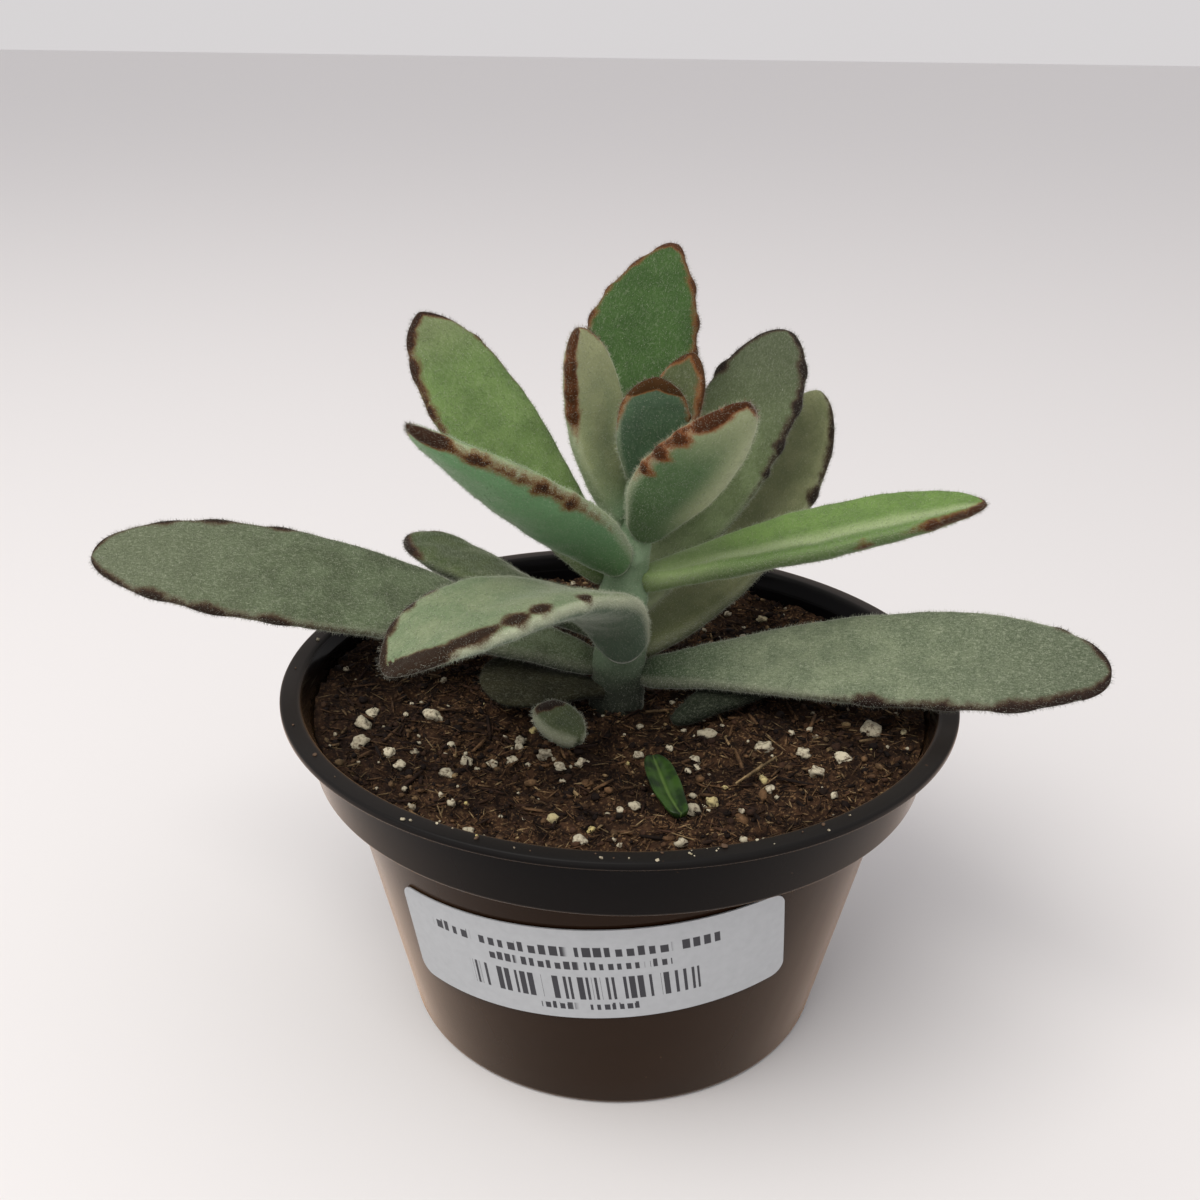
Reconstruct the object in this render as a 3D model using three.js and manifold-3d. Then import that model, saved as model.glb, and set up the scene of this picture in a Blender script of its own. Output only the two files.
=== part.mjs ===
// A panda plant (Kalanchoe tomentosa) growing in a round nursery pot.
// Millimetres, +Z up. The origin is the middle of the pot's flat base, and -Y is the pot's front,
// where the label is. Bearings are degrees from +X towards +Y, and rises are degrees above level.

import * as THREE from 'three';
import { mergeVertices } from 'three/addons/utils/BufferGeometryUtils.js';
import Module from 'manifold-3d';

const wasm = await Module();
wasm.setup();

// ---------- driving dimensions ----------

const GAP = 0.3; // clearance between pieces that touch in life

const POT = {
  height: 48,
  rimRadius: 44.45, // a 3.5 inch pot is measured across its rim
  rimWidth: 2.4,
  rimDrop: 1.1, // how far the rim turns down outside the collar
  collarTop: 42, // outer radius of the collar under the rim
  collarFoot: 40.5,
  collarHeight: 38.2, // where the collar meets the body
  step: 3.4, // how far the body stands back under the collar
  sill: 0.8, // height of the sloping ledge between the two
  baseRadius: 28.8,
  wall: 0.9,
  floor: 1.2,
  edge: 0.3, // rounding of the rim
  foot: 0.6, // rounding of the bottom edge
  facets: 48,
};

const DRAIN = { count: 6, radius: 3, ring: 20, facets: 10 };

const LABEL = {
  width: 50.3,
  height: 15.8,
  corner: 2,
  middle: 25.1, // height of its centre above the base
  bearing: -96.4,
  tilt: 5.8, // its right end sits higher
  paper: 0.3,
  columns: 24,
  rows: 3,
};

const SOIL = {
  edge: 44.4, // height of its surface at the wall
  dish: 1.3, // how far it sinks towards the middle
  lump: 0.35,
  waves: [11, 13, 20], // lengths of the ripples on it
  corner: 1, // bevel round its foot
  rings: 9,
  facets: 40,
};

const STEM = {
  y: 2,
  sides: 12,
  knuckle: 0.12, // swelling where leaves were shed
  // height, sideways lean and radius, from the buried foot up to the crown
  rows: [
    [29, -0.3, 3.2], [36, -0.3, 3.6], [42, -0.3, 3.75], [46, -0.1, 3.6], [50, 0.1, 3.45],
    [54, 0.2, 3.3], [58, 0.3, 3.2], [62, 0.7, 2.9], [66, 1.2, 2.6], [70, 2, 2.4], [74, 2.8, 2.2],
    [75.5, 3.1, 1.4],
  ],
};

const LEAF_SIDES = 8;
const ROOTING = 0.4; // share of the stem's radius that a leaf's foot reaches in before it is cut back
const FOOT_STATIONS = 6; // stations along the plain lower part of a leaf
const TOOTH_START = 0.42; // teeth grow on the blade beyond this share of its length
const STATIONS_A_TOOTH = 4;
const FEWEST_OUTER_STATIONS = 8;
const LAST_STATION = 0.985; // the last ring, just short of the tip
const STRIDE = 0.005; // step of the walk along a leaf's midrib
const SQUARENESS = 0.85; // below 1, a leaf's section is fuller than an ellipse
const SWELL_POWER = 1.3; // how a blade widens from its foot
const THINNING_POWER = 2.2; // how its outer half thins towards the tip

// at: height on the stem and the bearing of that side of the stem
// bearing, rise: direction at the foot; sweep, bend: how far these turn along the leaf
// roll, twist: the blade's turn about its own length, at the foot and more along the leaf
// size: length, width, thickness; cup: how far the margins stand above the middle
// form: width of the foot, place of the widest point, and the two powers that round the tip
// teeth: how many a side, and how far each stands out
const LEAVES = {
  leaf_low_left: {
    at: [47.3, 174], bearing: 173, rise: 18.3, sweep: 9.5, bend: -13, roll: -5.5, twist: -20.5,
    size: [68.7, 17.5, 4], cup: 0.1, form: [0.23, 0.6, 2.6, 0.55], teeth: [4, 0.45], colour: 0x7f8d74,
  },
  leaf_low_right: {
    at: [46.5, -11], bearing: -11.5, rise: 13.5, sweep: -8.5, bend: -9.5, roll: 14.5, twist: 19.5,
    size: [59.3, 15, 4], cup: 0.1, form: [0.27, 0.63, 2.6, 0.55], teeth: [4, 0.4], colour: 0x86937b,
  },
  leaf_front_left: {
    at: [50.5, -75], bearing: -109, rise: 60.5, sweep: -43, bend: -89.5, roll: 12.5, twist: -11,
    size: [45.9, 16.6, 4], cup: 0.15, form: [0.4, 0.64, 2.6, 0.55], teeth: [4, 0.4], colour: 0x93a27f,
  },
  leaf_mid_right: {
    at: [60, -1], bearing: -2.5, rise: 16.5, sweep: 0.5, bend: -2, roll: 0.5, twist: 4,
    size: [44.4, 12.9, 3.5], cup: 0.22, form: [0.4, 0.53, 2.4, 0.7], teeth: [3, 0.25], colour: 0x7f9a60,
  },
  leaf_back_left_low: {
    at: [52.5, 140], bearing: 143.5, rise: 0, sweep: -8.5, bend: 10, roll: 26, twist: -23,
    size: [38.2, 11.8, 3.6], cup: 0.1, form: [0.36, 0.67, 2.6, 0.55], teeth: [3, 0.3], colour: 0x707c62,
  },
  leaf_upper_left_front: {
    at: [63, -118], bearing: -134.5, rise: 36.5, sweep: -12.5, bend: 2.5, roll: 28, twist: -25.5,
    size: [38.3, 15.1, 4], cup: 0.15, form: [0.34, 0.49, 2.6, 0.7], teeth: [4, 0.3], colour: 0x6d8a62,
  },
  leaf_upper_left_back: {
    at: [60, 152], bearing: 149, rise: 35.5, sweep: -1.5, bend: 20, roll: -15, twist: 1.5,
    size: [43.2, 15, 4], cup: 0.12, form: [0.32, 0.61, 2.4, 0.65], teeth: [4, 0.35], colour: 0x84a062,
  },
  leaf_top_back: {
    at: [66.5, 92], bearing: 101, rise: 48, sweep: -46.5, bend: 2, roll: 5.5, twist: 4.5,
    size: [42.3, 15.5, 4], cup: 0.12, form: [0.28, 0.58, 2.2, 0.8], teeth: [5, 0.3], colour: 0x64834f,
  },
  leaf_right_back_inner: {
    at: [55, 80], bearing: 56.5, rise: 27.5, sweep: -30, bend: 39, roll: 16.5, twist: -2,
    size: [45.3, 15.4, 4], cup: 0.12, form: [0.39, 0.68, 2.8, 0.6], teeth: [3, 0.7], colour: 0x71805f,
  },
  leaf_right_back_outer: {
    at: [49, 58], bearing: 44, rise: 5, sweep: 1, bend: 64.5, roll: -2.5, twist: 0.5,
    size: [50, 13.8, 4], cup: 0.12, form: [0.36, 0.67, 2.6, 0.6], teeth: [4, 0.5], colour: 0x747a58,
  },
  leaf_crown_left: {
    at: [68.1, 203], bearing: 167.5, rise: 66.5, sweep: 8.5, bend: 19, roll: -25, twist: 8.5,
    size: [25.2, 12.5, 3.5], cup: 0.22, form: [0.24, 0.58, 2.8, 0.6], teeth: [4, 0.2], colour: 0x7f8c66,
  },
  leaf_crown_centre: {
    at: [74.6, 238], bearing: 117, rise: 103.5, sweep: -4, bend: 0, roll: -3.5, twist: -11.5,
    size: [13.6, 9.1, 3], cup: 0.22, form: [0.5, 0.55, 2.8, 0.6], teeth: [3, 0.12], colour: 0x4f6653,
  },
  leaf_crown_front: {
    at: [67.3, -42], bearing: -57.5, rise: 46, sweep: 11, bend: 7.5, roll: -21, twist: 12.5,
    size: [26.7, 13.2, 4], cup: 0.15, form: [0.37, 0.5, 2.4, 0.65], teeth: [4, 0.25], colour: 0x688060,
  },
  leaf_crown_back: {
    at: [72.5, 48], bearing: 43.5, rise: 62, sweep: 3.5, bend: 6.5, roll: 8.5, twist: 2.5,
    size: [17.4, 7.6, 2.6], cup: 0.22, form: [0.5, 0.54, 2.6, 0.7], teeth: [3, 0.12], colour: 0x5c7062,
  },
  leaf_under_left: {
    at: [44.9, 236], bearing: 185, rise: 8, sweep: 1.5, bend: -1.5, roll: 6, twist: -17,
    size: [16, 12.4, 1.9], cup: 0.04, form: [0.22, 0.64, 2.4, 0.55], teeth: [2, 0.2], colour: 0x4a4f3c,
  },
};

// Shed leaves lie loose on the soil: their foot is a place there instead of a side of the stem.
const SHED = {
  leaf_fallen: {
    foot: [6.8, -8.3, 44.9], bearing: 40.5, rise: 3.5, sweep: 5, bend: -2.5, roll: -5, twist: 0.5,
    size: [26, 9, 2.4], cup: 0.08, form: [0.18, 0.62, 2.6, 0.55], teeth: [2, 0.2], colour: 0x4f5a48,
  },
  leaf_shed_small: {
    foot: [-5.1, -13.9, 45], bearing: 129.5, rise: 13, sweep: -5.5, bend: -5, roll: 0, twist: 0,
    size: [8.5, 5.8, 3.4], cup: 0, form: [0.7, 0.5, 2.6, 0.5], teeth: [0, 0], colour: 0x69745a,
  },
  leaf_scrap_green: {
    foot: [6.9, -30.4, 44.7], bearing: 108, rise: 4, sweep: -10, bend: -2, roll: 0, twist: 0,
    size: [12.6, 4.9, 1.2], cup: 0.12, form: [0.8, 0.45, 2.2, 0.7], teeth: [0, 0], colour: 0x35501d,
  },
};

// Perlite grains that show on the soil: x, y and diameter.
const GRAINS = [
  [-24.2, -6.5, 2.3], [-33, -9, 2.1], [-32.5, -14.5, 2.2], [-26.8, -19.4, 1.5], [-20.9, -20.9, 1.7],
  [-18.9, -17.6, 1.5], [-28.5, -16.4, 1.3], [-25.6, -15, 1.2], [-32.4, -5.4, 1.4], [-13.4, -17, 1.4],
  [-9.3, -15.6, 1.7], [-7.4, -18.4, 1.6], [-4.5, -16.7, 1.3], [-15.6, -17.7, 1.3], [2.4, -15, 1.3],
  [9.4, -15.6, 1.6], [11.5, -9, 2], [18.5, -11.8, 2.2], [23, -14.7, 1.7], [17.9, -23.1, 1.1],
  [32.3, -9.4, 2.2], [27.6, -16.1, 1.6], [24.1, -19.2, 1.8], [10.8, -25.7, 1.7], [8.4, -27.6, 1.7],
  [-12.6, -11.5, 1.3], [-17.2, -33.4, 1.4], [-4.6, -35.3, 1.5], [1.7, -28, 1.2], [31, 3.6, 1.3],
  [-30, 12, 1.6], [-22, 24, 1.9], [-8, 31, 1.5], [9, 27, 2], [22, 25, 1.4], [31, 16, 1.8], [-12, 18, 1.4],
];
const GRAIN_LIFT = 0.2; // share of its radius that a grain's centre lies above the soil
const GRAIN_NARROWEST = 0.7;
const GRAIN_FLATNESS = 0.75;

const SAME_POINT = 1e-4; // vertices closer than this are one

// ---------- helpers ----------

const rad = THREE.MathUtils.degToRad;
const random = mulberry(7);

function mulberry(seed) {
  let state = seed;
  return () => {
    state = (state + 0x6d2b79f5) | 0;
    let t = Math.imul(state ^ (state >>> 15), 1 | state);
    t = (t + Math.imul(t ^ (t >>> 7), 61 | t)) ^ t;
    return ((t ^ (t >>> 14)) >>> 0) / 4294967296;
  };
}

// Closed body through rings of equally many points, each ring running anticlockwise when seen from
// its far side. Both ends close with a fan, to the given point or to the ring's own middle.
function loft(rings, lastPoint) {
  const sides = rings[0].length;
  const points = rings.flat();
  const faces = [];
  for (let i = 0; i + 1 < rings.length; i++) {
    for (let j = 0; j < sides; j++) {
      const a = i * sides + j;
      const b = i * sides + ((j + 1) % sides);
      faces.push(a, b, b + sides, a, b + sides, a + sides);
    }
  }
  const middle = (ring) => ring.reduce((sum, p) => sum.add(p), new THREE.Vector3()).divideScalar(sides);
  const first = points.push(middle(rings[0])) - 1;
  const last = points.push(lastPoint ?? middle(rings.at(-1))) - 1;
  const end = (rings.length - 1) * sides;
  for (let j = 0; j < sides; j++) {
    const next = (j + 1) % sides;
    faces.push(first, next, j, last, end + j, end + next);
  }
  const geometry = new THREE.BufferGeometry().setFromPoints(points);
  geometry.setIndex(faces);
  return geometry;
}

function toSolid(geometry) {
  const bare = geometry.clone();
  bare.deleteAttribute('normal');
  bare.deleteAttribute('uv');
  const merged = mergeVertices(bare, SAME_POINT);
  return new wasm.Manifold(
    new wasm.Mesh({
      numProp: 3,
      vertProperties: new Float32Array(merged.attributes.position.array),
      triVerts: new Uint32Array(merged.index.array),
    }),
  );
}

function toGeometry(solid) {
  const mesh = solid.getMesh();
  const geometry = new THREE.BufferGeometry();
  geometry.setAttribute('position', new THREE.BufferAttribute(mesh.vertProperties, 3));
  geometry.setIndex(new THREE.BufferAttribute(mesh.triVerts, 1));
  return geometry;
}

function piece(name, geometry, colour, roughness) {
  geometry.computeVertexNormals();
  const mesh = new THREE.Mesh(
    geometry,
    new THREE.MeshStandardMaterial({ color: colour, roughness, metalness: 0 }),
  );
  mesh.name = name;
  return mesh;
}

// ---------- pot ----------

const taper = (POT.collarFoot - POT.step - POT.baseRadius) / POT.collarHeight;
const flare = (POT.collarTop - POT.collarFoot) / (POT.height - POT.rimDrop - POT.collarHeight);
const bodyRadius = (z) => POT.baseRadius + taper * z;
const collarRadius = (z) => POT.collarFoot + flare * (z - POT.collarHeight);
const innerRadius = (z) =>
  z < POT.collarHeight + POT.wall / 2 ? bodyRadius(z) - POT.wall : collarRadius(z) - POT.wall;

function potGeometry() {
  const { height: top, rimRadius: rim, collarHeight: shoulder, sill, wall, floor, edge, foot } = POT;
  const mouth = rim - POT.rimWidth;
  const under = top - POT.rimDrop; // underside of the rim
  const outline = [
    [0, 0],
    [POT.baseRadius - foot, 0],
    [bodyRadius(foot), foot],
    [bodyRadius(shoulder - sill), shoulder - sill],
    [collarRadius(shoulder), shoulder],
    [collarRadius(under - edge), under - edge],
    [rim - edge, under],
    [rim, under + edge],
    [rim, top - edge],
    [rim - edge, top],
    [mouth + edge, top],
    [mouth, top - edge],
    [innerRadius(under - wall), under - wall],
    [innerRadius(shoulder + wall), shoulder + wall],
    [innerRadius(shoulder - sill + wall), shoulder - sill + wall],
    [innerRadius(floor + foot), floor + foot],
    [innerRadius(floor) - foot, floor],
    [0, floor],
  ];
  const shell = new THREE.LatheGeometry(outline.map(([r, z]) => new THREE.Vector2(r, z)), POT.facets);
  shell.rotateX(Math.PI / 2);
  let solid = toSolid(shell);
  for (let i = 0; i < DRAIN.count; i++) {
    const hole = new THREE.CylinderGeometry(DRAIN.radius, DRAIN.radius, 4 * POT.floor, DRAIN.facets);
    const turn = (2 * Math.PI * i) / DRAIN.count;
    hole.rotateX(Math.PI / 2).translate(DRAIN.ring * Math.cos(turn), DRAIN.ring * Math.sin(turn), 0);
    solid = solid.subtract(toSolid(hole));
  }
  return toGeometry(solid);
}

// ---------- label ----------

// A round-cornered strip of paper, pressed on to the tapered body a little askew.
function labelGeometry() {
  const { width, height, corner, columns, rows, paper } = LABEL;
  const tilt = rad(LABEL.tilt);
  const onBody = (u, v, lift) => {
    const across = u * Math.cos(tilt) - v * Math.sin(tilt);
    const along = u * Math.sin(tilt) + v * Math.cos(tilt);
    const z = LABEL.middle + along * Math.cos(Math.atan(taper));
    const bearing = rad(LABEL.bearing) + across / bodyRadius(z);
    const r = bodyRadius(z) + lift;
    return new THREE.Vector3(r * Math.cos(bearing), r * Math.sin(bearing), z);
  };
  const halfHeight = (u) => {
    const into = Math.max(0, Math.abs(u) - (width / 2 - corner));
    return height / 2 - corner + Math.sqrt(Math.max(0, corner ** 2 - into ** 2));
  };
  const rings = [];
  for (let i = 0; i <= columns; i++) {
    // columns crowd towards the ends, where the corners are
    const u = (width / 2) * Math.sin((Math.PI / 2) * ((2 * i) / columns - 1));
    const share = (j) => halfHeight(u) * ((2 * j) / rows - 1);
    const outer = Array.from({ length: rows + 1 }, (_, j) => onBody(u, share(j), GAP + paper));
    const inner = Array.from({ length: rows + 1 }, (_, j) => onBody(u, share(rows - j), GAP));
    rings.push([...outer, ...inner]);
  }
  return loft(rings.map((ring) => ring.reverse()));
}

// ---------- stem ----------

function stemGeometry(extra = 0) {
  const rings = STEM.rows.map(([z, x, radius], row) => {
    const swell = radius + extra + (row % 2 ? STEM.knuckle : 0);
    return Array.from({ length: STEM.sides }, (_, j) => {
      const turn = (2 * Math.PI * j) / STEM.sides;
      return new THREE.Vector3(x + swell * Math.cos(turn), STEM.y + swell * Math.sin(turn), z);
    });
  });
  if (extra) {
    rings[0].forEach((p) => (p.z -= extra));
    rings.at(-1).forEach((p) => (p.z += extra));
  }
  return loft(rings);
}

// Middle and radius of the stem at a height.
function stemAt(height) {
  const { rows, y } = STEM;
  const above = Math.min(Math.max(rows.findIndex((row) => row[0] >= height), 1), rows.length - 1);
  const [low, high] = [rows[above - 1], rows[above]];
  const share = (height - low[0]) / (high[0] - low[0]);
  const mix = (k) => THREE.MathUtils.lerp(low[k], high[k], share);
  return { middle: new THREE.Vector3(mix(1), y, height), radius: mix(2) };
}

// ---------- leaves ----------

// Half the blade's width at t, as a share of its widest: a narrow foot, a long swell and a round tip.
function bladeWidth(t, [foot, widest, power, blunt]) {
  const swell = foot + (1 - foot) * Math.sin((Math.PI / 2) * Math.min(t / widest, 1)) ** SWELL_POWER;
  const past = Math.max(0, (t - widest) / (1 - widest));
  return swell * (1 - past ** power) ** blunt;
}

const bladeThickness = (t) => Math.sqrt(1 - Math.max(0, 2 * t - 1) ** THINNING_POWER);

// Blunt teeth on the outer part of the margin, half a pitch apart on the two sides.
function toothHeight(t, side, [count, height]) {
  if (!count || t < TOOTH_START) return 0;
  const place = (count * (t - TOOTH_START)) / (1 - TOOTH_START) + (side > 0 ? 0 : 0.5);
  return height * Math.max(0, Math.cos(2 * Math.PI * place - Math.PI)) ** 2;
}

const fuller = (value) => Math.sign(value) * Math.abs(value) ** SQUARENESS;

function leafStations([count]) {
  const low = Array.from({ length: FOOT_STATIONS }, (_, i) => (TOOTH_START * i) / FOOT_STATIONS);
  const steps = Math.max(count * STATIONS_A_TOOTH, FEWEST_OUTER_STATIONS);
  const high = Array.from({ length: steps }, (_, i) => TOOTH_START + ((1 - TOOTH_START) * i) / steps);
  return [...low, ...high, LAST_STATION];
}

function leafGeometry(leaf, foot) {
  const [length, width, thickness] = leaf.size;
  const direction = (t) => {
    const bearing = rad(leaf.bearing + leaf.sweep * t);
    const rise = rad(leaf.rise + leaf.bend * t);
    return new THREE.Vector3(
      Math.cos(rise) * Math.cos(bearing), Math.cos(rise) * Math.sin(bearing), Math.sin(rise),
    );
  };
  const walk = [foot.clone()];
  for (let t = 0; t < 1 - STRIDE / 2; t += STRIDE) {
    walk.push(walk.at(-1).clone().addScaledVector(direction(t + STRIDE / 2), length * STRIDE));
  }
  const ringAt = (t) => {
    const step = Math.min(t / STRIDE, walk.length - 1.001);
    const centre = walk[Math.floor(step)].clone().lerp(walk[Math.floor(step) + 1], step % 1);
    const along = direction(t);
    const bearing = rad(leaf.bearing + leaf.sweep * t);
    const side = new THREE.Vector3(-Math.sin(bearing), Math.cos(bearing), 0);
    const turn = rad(leaf.roll + leaf.twist * t);
    side.applyAxisAngle(along, turn);
    const up = along.clone().cross(side);
    const half = (width / 2) * bladeWidth(t, leaf.form);
    const thick = Math.min((thickness / 2) * bladeThickness(t), 0.9 * half);
    return Array.from({ length: LEAF_SIDES }, (_, j) => {
      const angle = (2 * Math.PI * j) / LEAF_SIDES;
      const x = fuller(Math.cos(angle));
      const z = fuller(Math.sin(angle));
      const margin = half + toothHeight(t, Math.sign(x), leaf.teeth) * Math.abs(x) ** 3;
      return centre
        .clone()
        .addScaledVector(side, margin * x)
        .addScaledVector(up, thick * z + leaf.cup * half * x * x);
    });
  };
  return loft(leafStations(leaf.teeth).map(ringAt), walk.at(-1));
}

// A leaf on the stem: its foot starts inside the stem and is cut back to a fine gap round it.
function stemLeafGeometry(leaf, stemHollow) {
  const [height, bearing] = leaf.at;
  const { middle, radius } = stemAt(height);
  const out = radius * (1 - ROOTING);
  const foot = middle.add(
    new THREE.Vector3(out * Math.cos(rad(bearing)), out * Math.sin(rad(bearing)), 0),
  );
  const longer = { ...leaf, size: [leaf.size[0] + radius - out, leaf.size[1], leaf.size[2]] };
  return toGeometry(toSolid(leafGeometry(longer, foot)).subtract(stemHollow));
}

// ---------- soil ----------

function soilHeight(x, y) {
  const r = Math.hypot(x, y);
  const dish = SOIL.edge - SOIL.dish * (1 - Math.min(1, r / innerRadius(SOIL.edge)) ** 2);
  const [a, b, c] = SOIL.waves.map((wave) => (2 * Math.PI) / wave);
  const ripple = Math.sin(a * x) * Math.cos(b * y) + Math.sin(c * (x - y));
  return dish + (SOIL.lump * ripple) / 2;
}

function soilGeometry(stemHollow) {
  const low = POT.floor + GAP;
  const clear = (z) => innerRadius(z) - GAP;
  const overLedge = POT.collarHeight + POT.wall + GAP;
  const edge = clear(SOIL.edge);
  const profile = [
    [0, low],
    [clear(low) - SOIL.corner, low],
    [clear(low + SOIL.corner), low + SOIL.corner],
    [clear(overLedge - POT.sill), overLedge - POT.sill],
    [clear(overLedge), overLedge],
    [edge, SOIL.edge],
  ];
  for (let i = SOIL.rings - 1; i >= 0; i--) profile.push([(edge * i) / SOIL.rings, SOIL.edge]);
  const body = new THREE.LatheGeometry(profile.map(([r, z]) => new THREE.Vector2(r, z)), SOIL.facets);
  body.rotateX(Math.PI / 2);
  const position = body.attributes.position;
  for (let i = 0; i < position.count; i++) {
    const [x, y, z] = [position.getX(i), position.getY(i), position.getZ(i)];
    const inside = z > SOIL.edge - SAME_POINT && Math.hypot(x, y) < edge - SAME_POINT;
    if (inside) position.setZ(i, soilHeight(x, y));
  }
  let solid = toSolid(body).subtract(stemHollow);
  for (const [x, y, diameter] of GRAINS) {
    const grain = new THREE.IcosahedronGeometry(diameter / 2, 0);
    grain.scale(1, THREE.MathUtils.lerp(GRAIN_NARROWEST, 1, random()), GRAIN_FLATNESS);
    grain.rotateZ(2 * Math.PI * random());
    grain.translate(x, y, soilHeight(x, y) + (GRAIN_LIFT * diameter) / 2);
    solid = solid.add(toSolid(grain));
  }
  return toGeometry(solid);
}

// ---------- the plant ----------

const stemHollow = toSolid(stemGeometry(GAP));

const plant = new THREE.Group();
plant.name = 'panda_plant';
plant.add(piece('pot', potGeometry(), 0x1b1716, 0.3));
plant.add(piece('label', labelGeometry(), 0xe9eaec, 0.6));
plant.add(piece('soil', soilGeometry(stemHollow), 0x3a281f, 0.95));
plant.add(piece('stem', stemGeometry(), 0x7d957f, 0.85));
for (const [name, leaf] of Object.entries(LEAVES)) {
  plant.add(piece(name, stemLeafGeometry(leaf, stemHollow), leaf.colour, 0.85));
}
for (const [name, leaf] of Object.entries(SHED)) {
  plant.add(piece(name, leafGeometry(leaf, new THREE.Vector3(...leaf.foot)), leaf.colour, 0.7));
}

export default plant;
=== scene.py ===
import math

import bpy
import numpy as np
from mathutils import Matrix, Vector, noise


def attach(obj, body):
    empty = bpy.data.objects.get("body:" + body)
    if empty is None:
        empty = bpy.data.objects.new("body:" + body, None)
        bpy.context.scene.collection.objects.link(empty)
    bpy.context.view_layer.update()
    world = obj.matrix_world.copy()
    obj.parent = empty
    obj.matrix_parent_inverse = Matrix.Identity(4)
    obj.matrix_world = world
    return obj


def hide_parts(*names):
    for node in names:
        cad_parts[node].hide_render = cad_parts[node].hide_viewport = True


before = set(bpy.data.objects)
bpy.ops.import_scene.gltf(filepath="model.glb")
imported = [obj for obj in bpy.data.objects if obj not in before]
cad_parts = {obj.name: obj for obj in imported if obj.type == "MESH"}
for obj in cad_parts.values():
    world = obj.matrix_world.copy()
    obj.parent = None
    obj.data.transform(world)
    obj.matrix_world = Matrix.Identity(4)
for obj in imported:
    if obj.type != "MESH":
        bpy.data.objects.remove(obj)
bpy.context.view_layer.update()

MM = 0.001

# ---------- camera ----------
# A phone camera held close in front of the plant, a little above its crown, and tipped down so
# that the soil shows inside the rim. It leans by less than a degree to one side.

CAMERA_PLACE = Vector((-2.7, -160.5, 129)) * MM
CAMERA_PITCH = math.radians(23.8)
CAMERA_ROLL = math.radians(0.8)
CAMERA_LENS = 40.2

bpy.ops.object.camera_add()
camera = bpy.context.object
camera.name = "camera"
camera.data.lens = CAMERA_LENS
camera.data.sensor_width = 36
camera.data.clip_start = 0.01
camera.matrix_world = (
    Matrix.Translation(CAMERA_PLACE)
    @ Matrix.Rotation(math.pi / 2 - CAMERA_PITCH, 4, "X")
    @ Matrix.Rotation(CAMERA_ROLL, 4, "Z")
)
bpy.context.scene.camera = camera

# ---------- pot ----------
# A round nursery pot, thermoformed from one sheet of thin black plastic: a tapered body, a ledge,
# an upright collar that stands out over it, and a flat rim. It is glossy, dusty on the rim, and
# drained by round holes in its base. The brown of its thin lower wall, the warm tint of its gloss
# there and the warm sheen on its outer sides are a painted warm reflection.

POT_SIDES = 192
POT_HEIGHT = 48
POT_RIM = 44.45
POT_RIM_WIDTH = 2.4
POT_RIM_DROP = 1.1
POT_LEDGE = 38.2
POT_LEDGE_STEP = 3.4
POT_SILL = 0.8
POT_COLLAR_FOOT = 40.5
POT_COLLAR_TOP = 42
POT_BASE = 28.8
POT_WALL = 0.9
POT_FLOOR = 1.2
POT_THICK_FROM = POT_LEDGE + 0.4
POT_THIN_BELOW = POT_LEDGE - 1.2
POT_TAPER = (POT_COLLAR_FOOT - POT_LEDGE_STEP - POT_BASE) / POT_LEDGE
POT_FLARE = (POT_COLLAR_TOP - POT_COLLAR_FOOT) / (POT_HEIGHT - POT_RIM_DROP - POT_LEDGE)
DRAIN_HOLES = 6
DRAIN_RADIUS = 3
DRAIN_RING = 20


def body_radius(z):
    return POT_BASE + POT_TAPER * z


def collar_radius(z):
    return POT_COLLAR_FOOT + POT_FLARE * (z - POT_LEDGE)


def rounded(corners, steps=4):
    """The outline through corners (radius, height, rounding), each one turned into a short arc."""
    places = [Vector(corner[:2]) for corner in corners]
    outline = [places[0]]
    for before, corner, after, (_, _, rounding) in zip(places, places[1:], places[2:], corners[1:]):
        start = corner + (before - corner).normalized() * rounding
        end = corner + (after - corner).normalized() * rounding
        for i in range(steps + 1):
            t = i / steps
            outline.append(start * (1 - t) ** 2 + corner * 2 * t * (1 - t) + end * t ** 2)
    return outline + [places[-1]]


def primitive(name, shape, **sizes):
    """A new primitive under its own name, alone in the selection, its place taken into its mesh."""
    bpy.ops.object.select_all(action="DESELECT")
    shape(**sizes)
    piece = bpy.context.object
    piece.name = name
    piece.data.name = name
    bpy.ops.object.transform_apply(location=True, rotation=True, scale=True)
    return piece


def turned(name, outline, sides):
    """A closed round body: a disc is extruded from station to station of (radius, height) in mm."""
    radius, height = outline[0]
    piece = primitive(
        name, bpy.ops.mesh.primitive_circle_add, vertices=sides, radius=radius * MM, fill_type="NGON",
        location=(0, 0, height * MM),
    )
    bpy.ops.object.mode_set(mode="EDIT")
    bpy.ops.mesh.select_all(action="SELECT")
    for next_radius, next_height in outline[1:]:
        rise = (0, 0, (next_height - height) * MM)
        bpy.ops.mesh.extrude_region_move(TRANSFORM_OT_translate={"value": rise})
        share = next_radius / radius
        bpy.ops.transform.resize(value=(share, share, 1))
        radius, height = next_radius, next_height
    bpy.ops.mesh.select_all(action="SELECT")
    bpy.ops.mesh.normals_make_consistent(inside=False)
    bpy.ops.object.mode_set(mode="OBJECT")
    return piece


def pick(piece):
    bpy.ops.object.select_all(action="DESELECT")
    piece.select_set(True)
    bpy.context.view_layer.objects.active = piece


def apply_modifier(piece, kind, **settings):
    pick(piece)
    modifier = piece.modifiers.new(kind.lower(), kind)
    for key, value in settings.items():
        setattr(modifier, key, value)
    bpy.ops.object.modifier_apply(modifier=modifier.name)


def smooth(piece, degrees=30):
    pick(piece)
    bpy.ops.object.shade_smooth_by_angle(angle=math.radians(degrees))


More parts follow.
